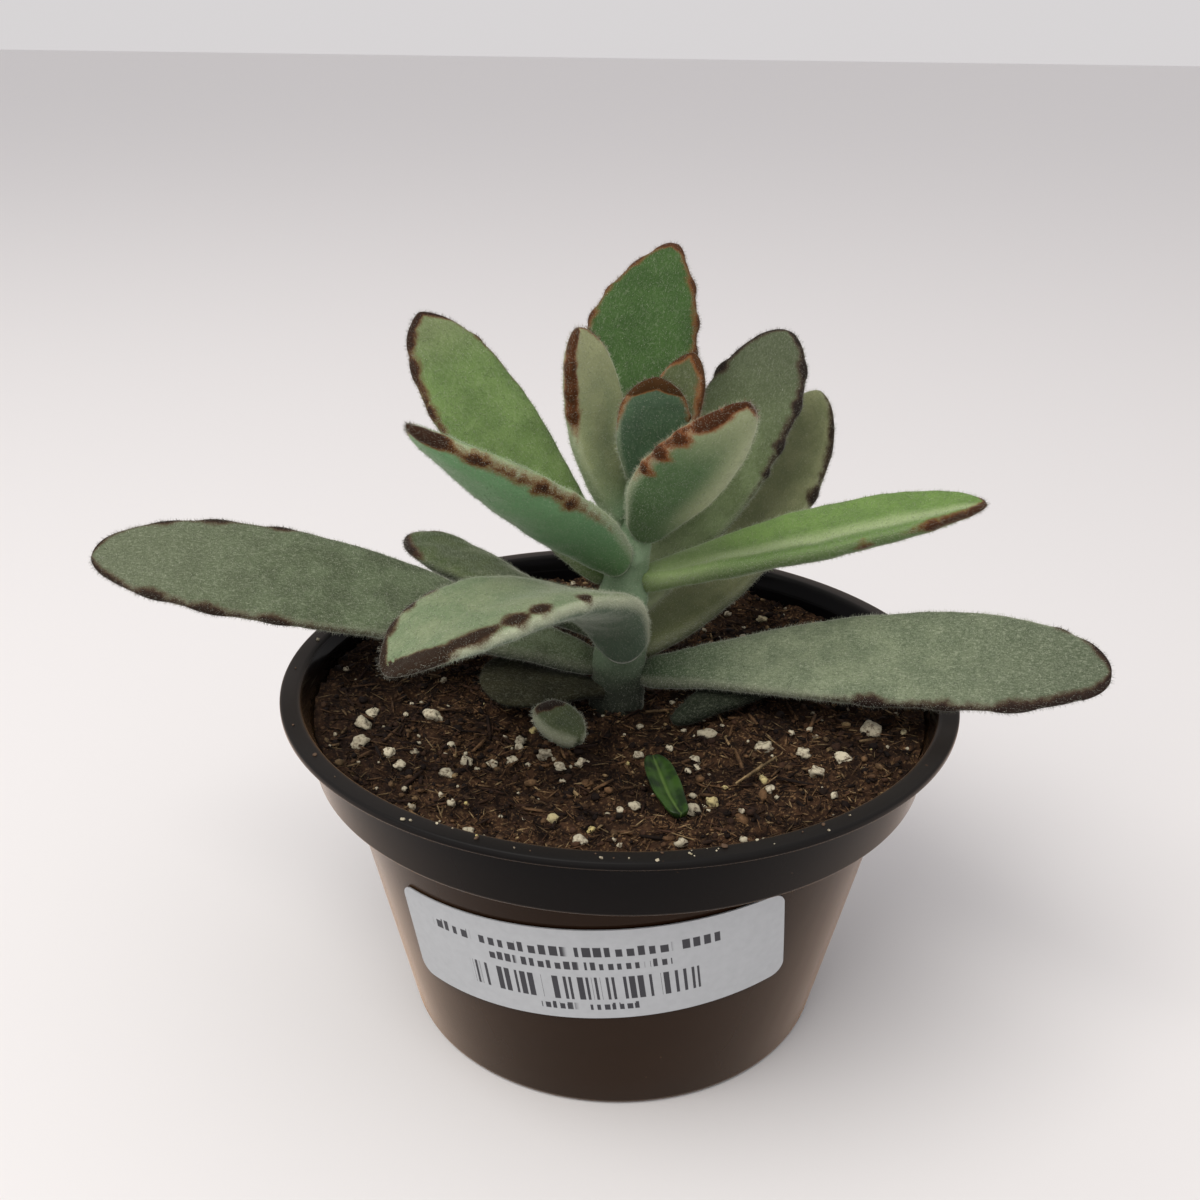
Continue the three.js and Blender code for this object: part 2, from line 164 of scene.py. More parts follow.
ledge_foot = POT_LEDGE - POT_SILL
rim_under = POT_HEIGHT - POT_RIM_DROP
pot_outline = rounded([
    (POT_BASE - 3, 0, 0),
    (POT_BASE, 0, 0.9),
    (body_radius(ledge_foot), ledge_foot, 0.5),
    (POT_COLLAR_FOOT, POT_LEDGE, 0.5),
    (collar_radius(rim_under), rim_under, 0.3),
    (POT_RIM, rim_under, 0.4),
    (POT_RIM, POT_HEIGHT, 0.4),
    (POT_RIM - POT_RIM_WIDTH, POT_HEIGHT, 0.5),
    (collar_radius(rim_under - 1) - POT_WALL, rim_under - 1, 0.4),
    (collar_radius(POT_LEDGE) - POT_WALL, POT_LEDGE + POT_WALL, 0.3),
    (body_radius(ledge_foot + POT_WALL) - POT_WALL, ledge_foot + POT_WALL, 0.3),
    (body_radius(POT_FLOOR) - POT_WALL, POT_FLOOR, 0.6),
    (POT_BASE - 5, POT_FLOOR, 0),
])
pot = turned("pot_shell", pot_outline, POT_SIDES)

drills = []
for i in range(DRAIN_HOLES):
    turn = 2 * math.pi * i / DRAIN_HOLES
    drills.append(primitive(
        "drain_drill", bpy.ops.mesh.primitive_cylinder_add, vertices=32, radius=DRAIN_RADIUS * MM,
        depth=4 * POT_FLOOR * MM,
        location=Vector((DRAIN_RING * math.cos(turn), DRAIN_RING * math.sin(turn), 0)) * MM,
    ))
for drill in drills:
    drill.select_set(True)
bpy.ops.object.join()
drill = bpy.context.object
apply_modifier(pot, "BOOLEAN", object=drill, operation="DIFFERENCE", solver="EXACT")
bpy.data.objects.remove(drill)
smooth(pot)


def srgb(red, green, blue):
    """A colour given as 0 to 255 on a screen, as the linear colour that a shader takes."""
    def linear(value):
        share = value / 255
        return share / 12.92 if share <= 0.04045 else ((share + 0.055) / 1.055) ** 2.4
    return (linear(red), linear(green), linear(blue), 1)


def feed(socket, value):
    """Sets a socket to a value, or links it to what another node gives."""
    if isinstance(value, bpy.types.NodeSocket):
        socket.id_data.links.new(value, socket)
    elif value is not None:
        socket.default_value = value


def drive(node, **sockets):
    """Feeds the sockets of a node, whose names are written with a low line for each space."""
    for name, value in sockets.items():
        feed(node.inputs[name.replace("_", " ")], value)


def new_material(name, **sockets):
    """A material, its node tree and its shader, with uniform values on the shader's own sockets."""
    material = bpy.data.materials.new(name)
    material.use_nodes = True
    shader = material.node_tree.nodes["Principled BSDF"]
    drive(shader, **sockets)
    return material, material.node_tree, shader


def add(kind, *inputs, tree=None, output=0, **settings):
    """A node with its settings, fed in order by sockets and values, and its named output.

    It joins the tree of the sockets that feed it. A node that nothing feeds is told its tree.
    """
    fed = [value for value in inputs if isinstance(value, bpy.types.NodeSocket)]
    node = (tree or fed[0].id_data).nodes.new("ShaderNode" + kind)
    for key, value in settings.items():
        setattr(node, key, value)
    for socket, value in zip(node.inputs, inputs):
        feed(socket, value)
    return node.outputs[output]


def own_place(tree):
    """Where a point lies on its piece."""
    return add("TexCoord", tree=tree, output="Object")


def stored(tree, key, output="Fac"):
    """What the mesh holds for each of its points under a key."""
    return add("Attribute", tree=tree, output=output, attribute_name=key)


def reckon(operation, *inputs):
    return add("Math", *inputs, operation=operation)


def times(first, second):
    return reckon("MULTIPLY", first, second)


def mix(share, first, second):
    """Two colours mixed by a share from 0 to 1. The node's other sockets mix numbers and vectors."""
    others = [None] * 5
    return add("Mix", share, *others, first, second, output=2, data_type="RGBA")


def step(value, low, high, to_low=0.0, to_high=1.0):
    """A smooth step of a value from low to high."""
    return add("MapRange", value, low, high, to_low, to_high, interpolation_type="SMOOTHSTEP")


def speckle(place, scale, detail=2.0, roughness=0.5):
    """Noise of a given scale at a place, a value near one half."""
    return add("TexNoise", place, None, scale, detail, roughness, noise_dimensions="3D")


def bump(shader, height, strength, distance):
    node = shader.id_data.nodes.new("ShaderNodeBump")
    drive(node, Strength=strength, Distance=distance, Height=height)
    drive(shader, Normal=node.outputs["Normal"])


def finish_piece(piece, material):
    """Gives a piece its finish and its place on the part's one body."""
    piece.data.materials.clear()
    piece.data.materials.append(material)
    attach(piece, "root")


# The warm sheen tint paints a warm reflection on the pot's outer sides.
pot_black, tree, shader = new_material("pot_black", Sheen_Roughness=0.3, Sheen_Tint=(1, 0.56, 0.26, 1))
place = own_place(tree)
height = add("SeparateXYZ", place, output="Z")
dust = speckle(place, 900, 4, 0.6)
grime = speckle(place, 60, 3, 0.6)
on_rim = step(height, (POT_HEIGHT - 0.8) * MM, (POT_HEIGHT - 0.1) * MM)
near_base = step(height, 6 * MM, 0.5 * MM)
dusty = reckon("MAXIMUM", on_rim, times(near_base, 0.35))
specks = times(step(dust, 0.68, 0.76), step(grime, 0.5, 0.62))
# Painted reflection: the thin wall's brown stands for a warm reflection; the plastic is black.
thin_wall_painted_reflection = mix(grime, (0.01, 0.0045, 0.0022, 1), (0.017, 0.0068, 0.003, 1))
thick_wall = mix(grime, (0.002, 0.0018, 0.0022, 1), (0.004, 0.0035, 0.004, 1))
plastic = mix(step(height, POT_THIN_BELOW * MM, POT_THICK_FROM * MM), thin_wall_painted_reflection, thick_wall)
plastic = mix(times(dusty, 0.4), plastic, srgb(44, 43, 42))
plastic = mix(times(specks, 0.5), plastic, srgb(92, 68, 48))
thinness = step(height, POT_THICK_FROM * MM, POT_THIN_BELOW * MM)
level = add("VectorMath", place, (1, 1, 0), operation="MULTIPLY")
reach = add("VectorMath", level, operation="LENGTH", output="Value")
outward = reckon("MULTIPLY_ADD", height, -POT_FLARE, reach)
outer_foot = (POT_COLLAR_FOOT - POT_FLARE * POT_LEDGE) * MM
outside = step(outward, outer_foot - 0.5 * POT_WALL * MM, outer_foot - 0.1 * POT_WALL * MM)
outside = reckon("MAXIMUM", outside, thinness)
polish = reckon("MULTIPLY_ADD", grime, 0.14, 0.04)
# The warm specular tint of the thin wall is a painted warm reflection.
drive(
    shader,
    Base_Color=plastic,
    Specular_IOR_Level=reckon("MULTIPLY_ADD", thinness, 0.02, 0.06),
    Specular_Tint=mix(thinness, (1, 1, 1, 1), (1, 0.66, 0.42, 1)),
    Sheen_Weight=reckon("MULTIPLY_ADD", outside, 0.3, 0.04),
    Roughness=reckon("MULTIPLY_ADD", dusty, 0.25, polish),
)
bump(shader, speckle(place, 90, 2), 0.12, 0.3 * MM)
finish_piece(pot, pot_black)
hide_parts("pot")

# ---------- label ----------
# A strip of white label paper with round corners, stuck round the front of the body by hand, so it
# sits a little crooked. Rows of plain dashes and a band of bars stand in for its print.

LABEL_WIDTH = 50.3
LABEL_HEIGHT = 15.8
LABEL_CORNER = 2
LABEL_MIDDLE = 25.1
LABEL_BEARING = math.radians(-96.4)
LABEL_TILT = math.radians(5.8)
LABEL_LIFT = 0.3
LABEL_PAPER = 0.16
PRINT_START = -100
DASH_ROWS = (  # left, right, foot and top of a row, and the pitch of its words and its dashes
    (-20, 16.6, 3.3, 4.6, 12.4, 1.3),
    (-12, 10.4, 1, 2.1, 7.7, 1.05),
    (-6, 6, -6.3, -5.3, 20, 0.9),
)
BAR_BAND = (-15, 13.5, -4.4, -0.3)
BAR_PITCH = 1.02
BAR_CELL = 0.34


def on_label(across, up):
    """A place on the flat label, in mm from its middle, as a point of the tapered body."""
    u = across * math.cos(LABEL_TILT) - up * math.sin(LABEL_TILT)
    v = across * math.sin(LABEL_TILT) + up * math.cos(LABEL_TILT)
    z = LABEL_MIDDLE + v * math.cos(math.atan(POT_TAPER))
    bearing = LABEL_BEARING + u / body_radius(z)
    radius = body_radius(z) + LABEL_LIFT
    return Vector((radius * math.cos(bearing), radius * math.sin(bearing), z)) * MM


def keep_tones(mesh, **tones):
    """Stores numbers or vectors for the points of a mesh, for its finish to read."""
    for key, values in tones.items():
        kind, field = ("FLOAT_VECTOR", "vector") if np.ndim(values) == 2 else ("FLOAT", "value")
        attribute = mesh.attributes.new(key, kind, "POINT")
        attribute.data.foreach_set(field, np.asarray(values, np.float32).ravel())


label = primitive(
    "label_paper", bpy.ops.mesh.primitive_grid_add, x_subdivisions=80, y_subdivisions=12, size=1
)
print_place = []
for vertex in label.data.vertices:
    across = LABEL_WIDTH / 2 * math.sin(math.pi * vertex.co.x)
    into = max(0, abs(across) - (LABEL_WIDTH / 2 - LABEL_CORNER))
    half_height = LABEL_HEIGHT / 2 - LABEL_CORNER + math.sqrt(max(0, LABEL_CORNER ** 2 - into ** 2))
    up = 2 * half_height * vertex.co.y
    print_place.append((across, up, 0))
    vertex.co = on_label(across, up)
keep_tones(label.data, print_place=print_place)
apply_modifier(label, "SOLIDIFY", thickness=LABEL_PAPER * MM, offset=-1)
smooth(label, 40)

paper, tree, shader = new_material("label_white_paper", Roughness=0.5, Specular_IOR_Level=0.4)
print_across = add("SeparateXYZ", stored(tree, "print_place", "Vector"))
print_up = add("SeparateXYZ", stored(tree, "print_place", "Vector"), output="Y")


def within(value, low, high, soft=0.06):
    """One between low and high, zero outside, with the slight softness of thermal print."""
    above = step(reckon("SUBTRACT", value, low), -soft, soft)
    return times(above, step(reckon("SUBTRACT", value, high), soft, -soft))


def block(left, right, low, high):
    return times(within(print_across, left, right), within(print_up, low, high))


def cells(pitch):
    """How many cells of a pitch lie between the print's start and a point."""
    return reckon("DIVIDE", reckon("SUBTRACT", print_across, PRINT_START), pitch)


def stripes(pitch, share):
    """Upright stripes of a pitch, each taking a share of it."""
    phase = reckon("FRACT", cells(pitch))
    return step(reckon("SUBTRACT", phase, share), 0, 0.06, 1, 0)


def chance(pitch):
    """A random value for each cell of a pitch."""
    return add("TexWhiteNoise", None, reckon("FLOOR", cells(pitch)), noise_dimensions="1D")


def dashes(left, right, low, high, word, dash):
    """A row of dashes of uneven width and height in groups, in place of a line of print."""
    share = reckon("MULTIPLY_ADD", chance(dash), 0.35, 0.42)
    tall = step(chance(dash * 1.01), 0.45, 0.5)
    top = reckon("MULTIPLY_ADD", tall, 0.28 * (high - low), high)
    return times(block(left, right, low, top), times(stripes(word, 0.88), stripes(dash, share)))


bars = times(step(chance(BAR_CELL), 0.34, 0.37), stripes(BAR_PITCH, 0.68))
ink = times(block(*BAR_BAND), bars)
for row in DASH_ROWS:
    ink = reckon("MAXIMUM", ink, dashes(*row))
place = own_place(tree)
white = mix(speckle(place, 900, 3), srgb(170, 173, 176), srgb(186, 189, 192))
drive(shader, Base_Color=mix(ink, white, srgb(46, 46, 52)))
bump(shader, speckle(place, 1600, 3), 0.15, 0.05 * MM)
finish_piece(label, paper)
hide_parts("label")

# ---------- soil ----------
# Moist potting mix of peat and fine bark, filled to a few millimetres under the rim and sunk a
# little round the stem. Its surface is broken and lumpy.

SOIL_EDGE = 44.4
SOIL_DISH = 1.3
SOIL_LUMP = 0.35
SOIL_WAVES = (11, 13, 20)
SOIL_CELLS = 132
SOIL_CLEARANCE = 0.3
STEM_Y = 2
STEM_HOLLOW = 2
STEM_HOLLOW_SPREAD = 30


def inner_radius(z):
    outer = body_radius(z) if z < POT_LEDGE + POT_WALL / 2 else collar_radius(z)
    return outer - POT_WALL


def soil_height(x, y):
    """The level of the soil in mm, without its crumbs."""
    share = min(1, math.hypot(x, y) / inner_radius(SOIL_EDGE))
    dish = SOIL_EDGE - SOIL_DISH * (1 - share ** 2)
    a, b, c = (2 * math.pi / wave for wave in SOIL_WAVES)
    ripple = math.sin(a * x) * math.cos(b * y) + math.sin(c * (x - y))
    return dish + SOIL_LUMP * ripple / 2


def crumbled(x, y):
    """The level with the lumps that the peat breaks into and its hollow round the stem."""
    place = Vector((x, y, 0))
    lumps = 0.8 * noise.noise(place * 0.45) + 0.6 * noise.noise(place * 1.1)
    hollow = STEM_HOLLOW * math.exp(-(x * x + (y - STEM_Y) ** 2) / STEM_HOLLOW_SPREAD)
    return soil_height(x, y) + lumps + 0.3 * noise.noise(place * 2.6) - hollow


soil = primitive(
    "soil_bed", bpy.ops.mesh.primitive_grid_add, x_subdivisions=SOIL_CELLS, y_subdivisions=SOIL_CELLS, size=2
)
soil_radius = inner_radius(SOIL_EDGE) - SOIL_CLEARANCE
for vertex in soil.data.vertices:
    u, v = vertex.co.x, vertex.co.y
    x = soil_radius * u * math.sqrt(1 - v * v / 2)
    y = soil_radius * v * math.sqrt(1 - u * u / 2)
    vertex.co = Vector((x, y, crumbled(x, y))) * MM
bpy.ops.object.mode_set(mode="EDIT")
bpy.ops.mesh.select_all(action="DESELECT")
bpy.ops.mesh.select_non_manifold(extend=False)
height, radius = SOIL_EDGE, soil_radius
over_ledge = POT_LEDGE + POT_WALL + SOIL_CLEARANCE
for z in (over_ledge, over_ledge - POT_SILL, POT_FLOOR + SOIL_CLEARANCE):
    bpy.ops.mesh.extrude_edges_move(TRANSFORM_OT_translate={"value": (0, 0, (z - height) * MM)})
    share = (inner_radius(z) - SOIL_CLEARANCE) / radius
    bpy.ops.transform.resize(value=(share, share, 1), center_override=(0, 0, z * MM))
    height, radius = z, inner_radius(z) - SOIL_CLEARANCE
bpy.ops.transform.resize(value=(1, 1, 0), center_override=(0, 0, height * MM))
bpy.ops.mesh.edge_face_add()
bpy.ops.mesh.select_all(action="SELECT")
bpy.ops.mesh.normals_make_consistent(inside=False)
bpy.ops.object.mode_set(mode="OBJECT")
smooth(soil, 60)


def with_pit_shade_and_dark_left(place, earth):
    """Earth with dark patches of painted shade standing for its shaded pits, and darker towards its left
    side.
    """
    # Painted shade: random dark patches stand for the shade in the soil's pits.
    pit_shade_mask = step(speckle(place, 240, 3, 0.6), 0.54, 0.4, 0, 0.6)
    left = step(add("SeparateXYZ", place), -16 * MM, -34 * MM, 0, 0.6)
    return mix(reckon("MAXIMUM", pit_shade_mask, left), earth, srgb(20, 13, 12))


peat, tree, shader = new_material("damp_peat", Roughness=0.95, Specular_IOR_Level=0.1)
place = own_place(tree)
coarse = speckle(place, 700, 4, 0.65)
fine = speckle(place, 2600, 3, 0.6)
earth = mix(step(coarse, 0.35, 0.65), srgb(28, 20, 16), srgb(68, 48, 34))
earth = mix(step(fine, 0.52, 0.7), earth, srgb(118, 92, 64))
drive(shader, Base_Color=with_pit_shade_and_dark_left(place, earth))
bump(shader, fine, 0.6, 0.3 * MM)
finish_piece(soil, peat)
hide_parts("soil")

# ---------- crumbs and fibres ----------
# The top of the mix: crumbs of peat, slivers of bark and many short fibres of every brown from
# near black to straw, lying flat and crossing each other.

CRUMBS = 2600
CRUMB_SIZE = (4, 0.13)  # the shape and scale of their spread, as for the lengths below
FIBRES = 6200
FIBRE_LENGTH = (4, 0.33)
FIBRE_WIDTH = (0.09, 0.25)
SLIVERS = 500
SLIVER_LENGTH = (6, 0.42)
SLIVER_WIDTH = (0.4, 0.9)
STEM_CLEARANCE = 4
STRAW = ((13.8, -22.7, 44.5), (19.2, -17.5, 45.2))
STRAW_WIDTH = 0.55
rng = np.random.default_rng(11)


def strewn(name, master, places, **tones):
    """Many copies of a small master shape joined in one mesh, each moved by its own 3x4 matrix."""
    corners = np.array([v.co for v in master.data.vertices])
    master.data.calc_loop_triangles()
    faces = np.array([t.vertices[:] for t in master.data.loop_triangles])
    bpy.data.objects.remove(master)
    count, each = len(places), len(corners)
    points = np.einsum("nij,kj->nki", places[:, :, :3], corners) + places[:, None, :, 3]
    triangles = (faces[None] + each * np.arange(count)[:, None, None]).reshape(-1, 3)
    mesh = bpy.data.meshes.new(name)
    mesh.vertices.add(count * each)
    mesh.vertices.foreach_set("co", points.astype(np.float32).ravel())
    mesh.loops.add(triangles.size)
    mesh.loops.foreach_set("vertex_index", triangles.astype(np.int32).ravel())
    mesh.polygons.add(len(triangles))
    mesh.polygons.foreach_set("loop_start", np.arange(0, triangles.size, 3, dtype=np.int32))
    mesh.update(calc_edges=True)
    keep_tones(mesh, **{key: np.repeat(values, each, axis=0) for key, values in tones.items()})
    piece = bpy.data.objects.new(name, mesh)
    bpy.context.scene.collection.objects.link(piece)
    return piece


def axes_for(forward, up):
    """Matrices whose columns are side, forward and up, for arrays of directions."""
    forward = forward / np.linalg.norm(forward, axis=1, keepdims=True)
    side = np.cross(forward, up)
    side /= np.linalg.norm(side, axis=1, keepdims=True)
    return np.stack([side, forward, np.cross(side, forward)], axis=2)


def on_soil(count, margin):
    """Random places on the soil, in mm, even over its area and clear of the stem."""
    places = []
    while len(places) < count:
        x, y = rng.uniform(-1, 1, 2) * (soil_radius - margin)
        if math.hypot(x, y) < soil_radius - margin and math.hypot(x, y - STEM_Y) > STEM_CLEARANCE:
            places.append((x, y, crumbled(x, y)))
    return np.array(places)


def lying(places, length, width, height, tilt):
    """Matrices that lay copies flat on the soil at places, each turned its own way."""
    count = len(places)
    turn = rng.uniform(0, 2 * math.pi, count)
    slope = rng.normal(0, tilt, count)
    forward = np.stack([np.cos(turn), np.sin(turn), slope], 1)
    up = np.stack([rng.normal(0, 0.4, count), rng.normal(0, 0.4, count), np.ones(count)], 1)
    sizes = np.stack([width, length, height], 1)
    return np.concatenate([axes_for(forward, up) * sizes[:, None, :], places[:, :, None]], 2) * MM


def sliver(bend, taper):
    """One fibre, a unit long, three-sided, bent to a shallow arc."""
    piece = turned("sliver", [(taper, -0.5), (0.5, 0), (taper, 0.5)], 3)
    for vertex in piece.data.vertices:
        x, y, z = vertex.co / MM
        vertex.co = (x + bend * (0.25 - z * z), z, y)
    return piece


places = on_soil(CRUMBS, 0.6)
size = rng.gamma(*CRUMB_SIZE, CRUMBS)
crumb = primitive("crumb", bpy.ops.mesh.primitive_ico_sphere_add, subdivisions=1, radius=0.5)
for vertex in crumb.data.vertices:
    vertex.co *= 1 + 0.5 * noise.noise(vertex.co * 3.7)
places[:, 2] += 0.15 * size
crumbs = strewn(
    "soil_crumbs",
    crumb,
    lying(places, size * rng.uniform(0.8, 1.6, CRUMBS), size, size * 0.7, 0.3),
    tone=rng.beta(0.9, 2, CRUMBS),
)


def scattered(name, count, margin, above, lengths, widths, thickness, bend, taper, tilt, tone):
    """Slivers of one kind all over the soil and a little above it, as thick as a share of their width."""
    places = on_soil(count, margin)
    places[:, 2] += rng.uniform(*above, count)
    length = rng.gamma(*lengths, count)
    width = rng.uniform(*widths, count)
    flat = lying(places, length, width, width * thickness, tilt)
    return strewn(name, sliver(bend, taper), flat, tone=rng.beta(*tone, count))


fibres = scattered(
    "soil_fibres", FIBRES, 0.9, above=(0, 0.45), lengths=FIBRE_LENGTH, widths=FIBRE_WIDTH, thickness=1.2,
    bend=0.35, taper=0.2, tilt=0.28, tone=(1, 1.3),
)
bark = scattered(
    "bark_slivers", SLIVERS, 1.5, above=(0.05, 0.4), lengths=SLIVER_LENGTH, widths=SLIVER_WIDTH,
    thickness=0.45, bend=0.15, taper=0.32, tilt=0.18, tone=(1.6, 2.2),
)

along = np.array(STRAW[1]) - STRAW[0]
middle = (np.array(STRAW[1]) + STRAW[0]) / 2
straw_sizes = (STRAW_WIDTH, np.linalg.norm(along), STRAW_WIDTH)
straw_axes = axes_for(along[None], np.array([[0, 0, 1.0]])) * straw_sizes
straw = strewn(
    "straw_twig",
    sliver(0.08, 0.3),
    np.concatenate([straw_axes, middle[None, :, None]], 2) * MM,
    tone=np.array([0.97]),
)

fibre_brown, tree, shader = new_material("fibre_brown", Roughness=0.85, Specular_IOR_Level=0.15)
tone = stored(tree, "tone")
place = own_place(tree)
grain = speckle(place, 3000, 3)
earth = mix(step(tone, 0.1, 0.4), srgb(30, 21, 17), srgb(82, 58, 43))
earth = mix(step(tone, 0.4, 0.62), earth, srgb(124, 94, 66))
earth = mix(step(tone, 0.68, 0.95), earth, srgb(176, 150, 110))
earth = mix(step(grain, 0.3, 0.75, 0.5, 0), earth, srgb(16, 11, 10))
drive(shader, Base_Color=with_pit_shade_and_dark_left(place, earth))
bump(shader, grain, 0.4, 0.1 * MM)
for piece in (crumbs, fibres, bark, straw):
    finish_piece(piece, fibre_brown)

# ---------- perlite ----------
# Expanded volcanic glass: white, brittle, pitted grains, mixed through the soil and sorted by no
# one. The larger ones lie at known places, and crumbs of them are everywhere, on the rim too.

GRAINS = (  # across, away and size
    (-24.2, -6.5, 2.3), (-33, -9, 2.1), (-32.5, -14.5, 2.2), (-26.8, -19.4, 1.5), (-20.9, -20.9, 1.7),
    (-18.9, -17.6, 1.5), (-28.5, -16.4, 1.3), (-25.6, -15, 1.2), (-32.4, -5.4, 1.4), (-13.4, -17, 1.4),
    (-9.3, -15.6, 1.7), (-7.4, -18.4, 1.6), (-4.5, -16.7, 1.3), (-15.6, -17.7, 1.3), (2.4, -15, 1.3),
    (9.4, -15.6, 1.6), (11.5, -9, 2), (18.5, -11.8, 2.2), (23, -14.7, 1.7), (17.9, -23.1, 1.1),
    (32.3, -9.4, 2.2), (27.6, -16.1, 1.6), (24.1, -19.2, 1.8), (10.8, -25.7, 1.7), (8.4, -27.6, 1.7),
    (-12.6, -11.5, 1.3), (-17.2, -33.4, 1.4), (-4.6, -35.3, 1.5), (1.7, -28, 1.2), (31, 3.6, 1.3),
    (-30, 12, 1.6), (-22, 24, 1.9), (-8, 31, 1.5), (9, 27, 2), (22, 25, 1.4), (31, 16, 1.8), (-12, 18, 1.4),
)
GRAIN_SHAPES = 4
PERLITE_CRUMBS = 260
PERLITE_CRUMB_SIZE = (3, 0.13)
RIM_CRUMBS = 34
RIM_CRUMB_SIZE = (3, 0.065)
RIM_CRUMB_BEARINGS = (-92, 45)


def perlite_grain(subdivisions, seed, pits):
    """One pitted grain, a unit across, of its own shape."""
    piece = primitive(
        "grain", bpy.ops.mesh.primitive_ico_sphere_add, subdivisions=subdivisions, radius=0.5
    )
    for vertex in piece.data.vertices:
        place = vertex.co * 3 + Vector((seed, 2 * seed, 0))
        vertex.co *= 1 + 0.6 * noise.noise(place * 0.8) + pits * noise.noise(place * 2.7)
    return piece


grains = []
for kind in range(GRAIN_SHAPES):
    x, y, size = np.array(GRAINS[kind::GRAIN_SHAPES]).T
    places = np.stack([x, y, [crumbled(*spot) for spot in zip(x, y)] + 0.22 * size], 1)
    flat = lying(places, size * rng.uniform(1, 1.25, len(size)), size, size * 0.7, 0.15)
    master = perlite_grain(3, kind * 5.3, 0.13)
    grains.append(strewn(f"perlite_grains_{kind + 1}", master, flat, tone=rng.uniform(0, 1, len(size))))

places = on_soil(PERLITE_CRUMBS, 0.8)
size = rng.gamma(*PERLITE_CRUMB_SIZE, PERLITE_CRUMBS) + 0.15
places[:, 2] += 0.3 * size
flat = lying(places, size * rng.uniform(1, 1.5, PERLITE_CRUMBS), size, size * 0.8, 0.3)
grains.append(strewn(
    "perlite_crumbs", perlite_grain(2, 3.1, 0.2), flat, tone=rng.uniform(0, 1, PERLITE_CRUMBS)
))

bearing = np.radians(rng.normal(*RIM_CRUMB_BEARINGS, RIM_CRUMBS))
radius = rng.uniform(POT_RIM - POT_RIM_WIDTH + 0.3, POT_RIM - 0.4, RIM_CRUMBS)
size = rng.gamma(*RIM_CRUMB_SIZE, RIM_CRUMBS) + 0.1
places = np.stack([radius * np.cos(bearing), radius * np.sin(bearing), POT_HEIGHT + 0.25 * size], 1)
flat = lying(places, size * 1.3, size, size * 0.7, 0.1)
grains.append(strewn(
    "rim_crumbs", perlite_grain(2, 7.9, 0.2), flat, tone=rng.uniform(-1.2, 1, RIM_CRUMBS)
))

perlite, tree, shader = new_material("perlite_white", Roughness=0.85, Specular_IOR_Level=0.3)
tone = stored(tree, "tone")
pits = speckle(own_place(tree), 1900, 3, 0.6)
stone = mix(step(tone, 0, 1), srgb(200, 191, 166), srgb(168, 160, 138))
stone = mix(step(tone, 0.86, 0.98), stone, srgb(196, 180, 120))
stone = mix(step(tone, -0.2, -0.6), stone, srgb(92, 72, 56))
stone = mix(step(pits, 0.52, 0.36, 0, 0.75), stone, srgb(92, 76, 62))
drive(shader, Base_Color=stone)
bump(shader, pits, 0.7, 0.2 * MM)
for piece in grains:
    finish_piece(piece, perlite)

# ---------- leaf blades ----------
# A leaf is a thick fleshy blade, widest past its middle and cupped a little, that grows out of the
# stem. A dense felt of fine white hairs covers it, and the hairs of its blunt marginal teeth are
# rust brown, which turns to blackish brown as the leaf ages.

STEM_ROWS = (  # height, sideways lean and radius, from the buried foot to the crown
    (29, -0.3, 3.2), (36, -0.3, 3.6), (42, -0.3, 3.75), (46, -0.1, 3.6), (50, 0.1, 3.45),
    (54, 0.2, 3.3), (58, 0.3, 3.2), (62, 0.7, 2.9), (66, 1.2, 2.6), (70, 2, 2.4), (74, 2.8, 2.2),
    (75.5, 3.1, 1.4),
)
ROOTING = 0.4
BLADE_SEGMENTS = 44
BLADE_RINGS = 92
TIP_CROWDING = 1.5
WALK_STEPS = 200
NECK_LENGTH = 0.07
NECK_PINCH = 0.45
CHANNEL_WIDTH = 0.34
RIPPLE = 0.3
TOOTH_LENGTH = 0.07
TOOTH_SHARE = 0.4
UNMARKED = -3


def stem_at(height):
    """The middle of the stem and its radius at a height, in mm."""
    heights, leans, radii = np.array(STEM_ROWS).T
    middle = np.array([np.interp(height, heights, leans), STEM_Y, height])
    return middle, np.interp(height, heights, radii)


def blade_axes(leaf, t):
    """The midrib's points and the directions along, across and out of the blade at shares t.

    In degrees, a leaf's bearing and rise are where its foot points, sweep and bend how they change
    to its tip, and roll and twist how it turns about its midrib.
    """
    def angles(share):
        bearing = leaf["bearing"] + leaf["sweep"] * share
        return np.radians(bearing), np.radians(leaf["rise"] + leaf["bend"] * share)

    def along(share):
        bearing, rise = angles(share)
        flat = np.cos(rise)
        return np.stack([flat * np.cos(bearing), flat * np.sin(bearing), np.sin(rise)], -1)

    stations = np.linspace(0, 1, WALK_STEPS + 1)
    strides = along((stations[:-1] + stations[1:]) / 2) * leaf["length"] / WALK_STEPS
    walk = leaf["foot"] + np.vstack([np.zeros(3), np.cumsum(strides, 0)])
    middle = np.stack([np.interp(t, stations, walk[:, i]) for i in range(3)], -1)
    bearing, _ = angles(t)
    forward = along(t)
    level = np.stack([-np.sin(bearing), np.cos(bearing), 0 * bearing], -1)
    lift = np.cross(forward, level)
    turn = np.radians(leaf["roll"] + leaf["twist"] * t)[..., None]
    across = np.cos(turn) * level + np.sin(turn) * lift
    return middle, forward, across, np.cos(turn) * lift - np.sin(turn) * level


def fuller(value):
    """A sine or cosine that makes an oval a little squarer."""
    return np.sign(value) * np.abs(value) ** 0.85


def marks_of(leaf):
    """Each brown mark: its side, its middle and half length as shares of the leaf, its width and
    how far it lies on to the upper face, both in mm.

    The left margin, seen from the foot with the upper face up, is side 1 and the right is side -1.
    """
    for side, key in ((1, "left"), (-1, "right")):
        for mark in leaf.get(key, ()):
            yield side, *mark


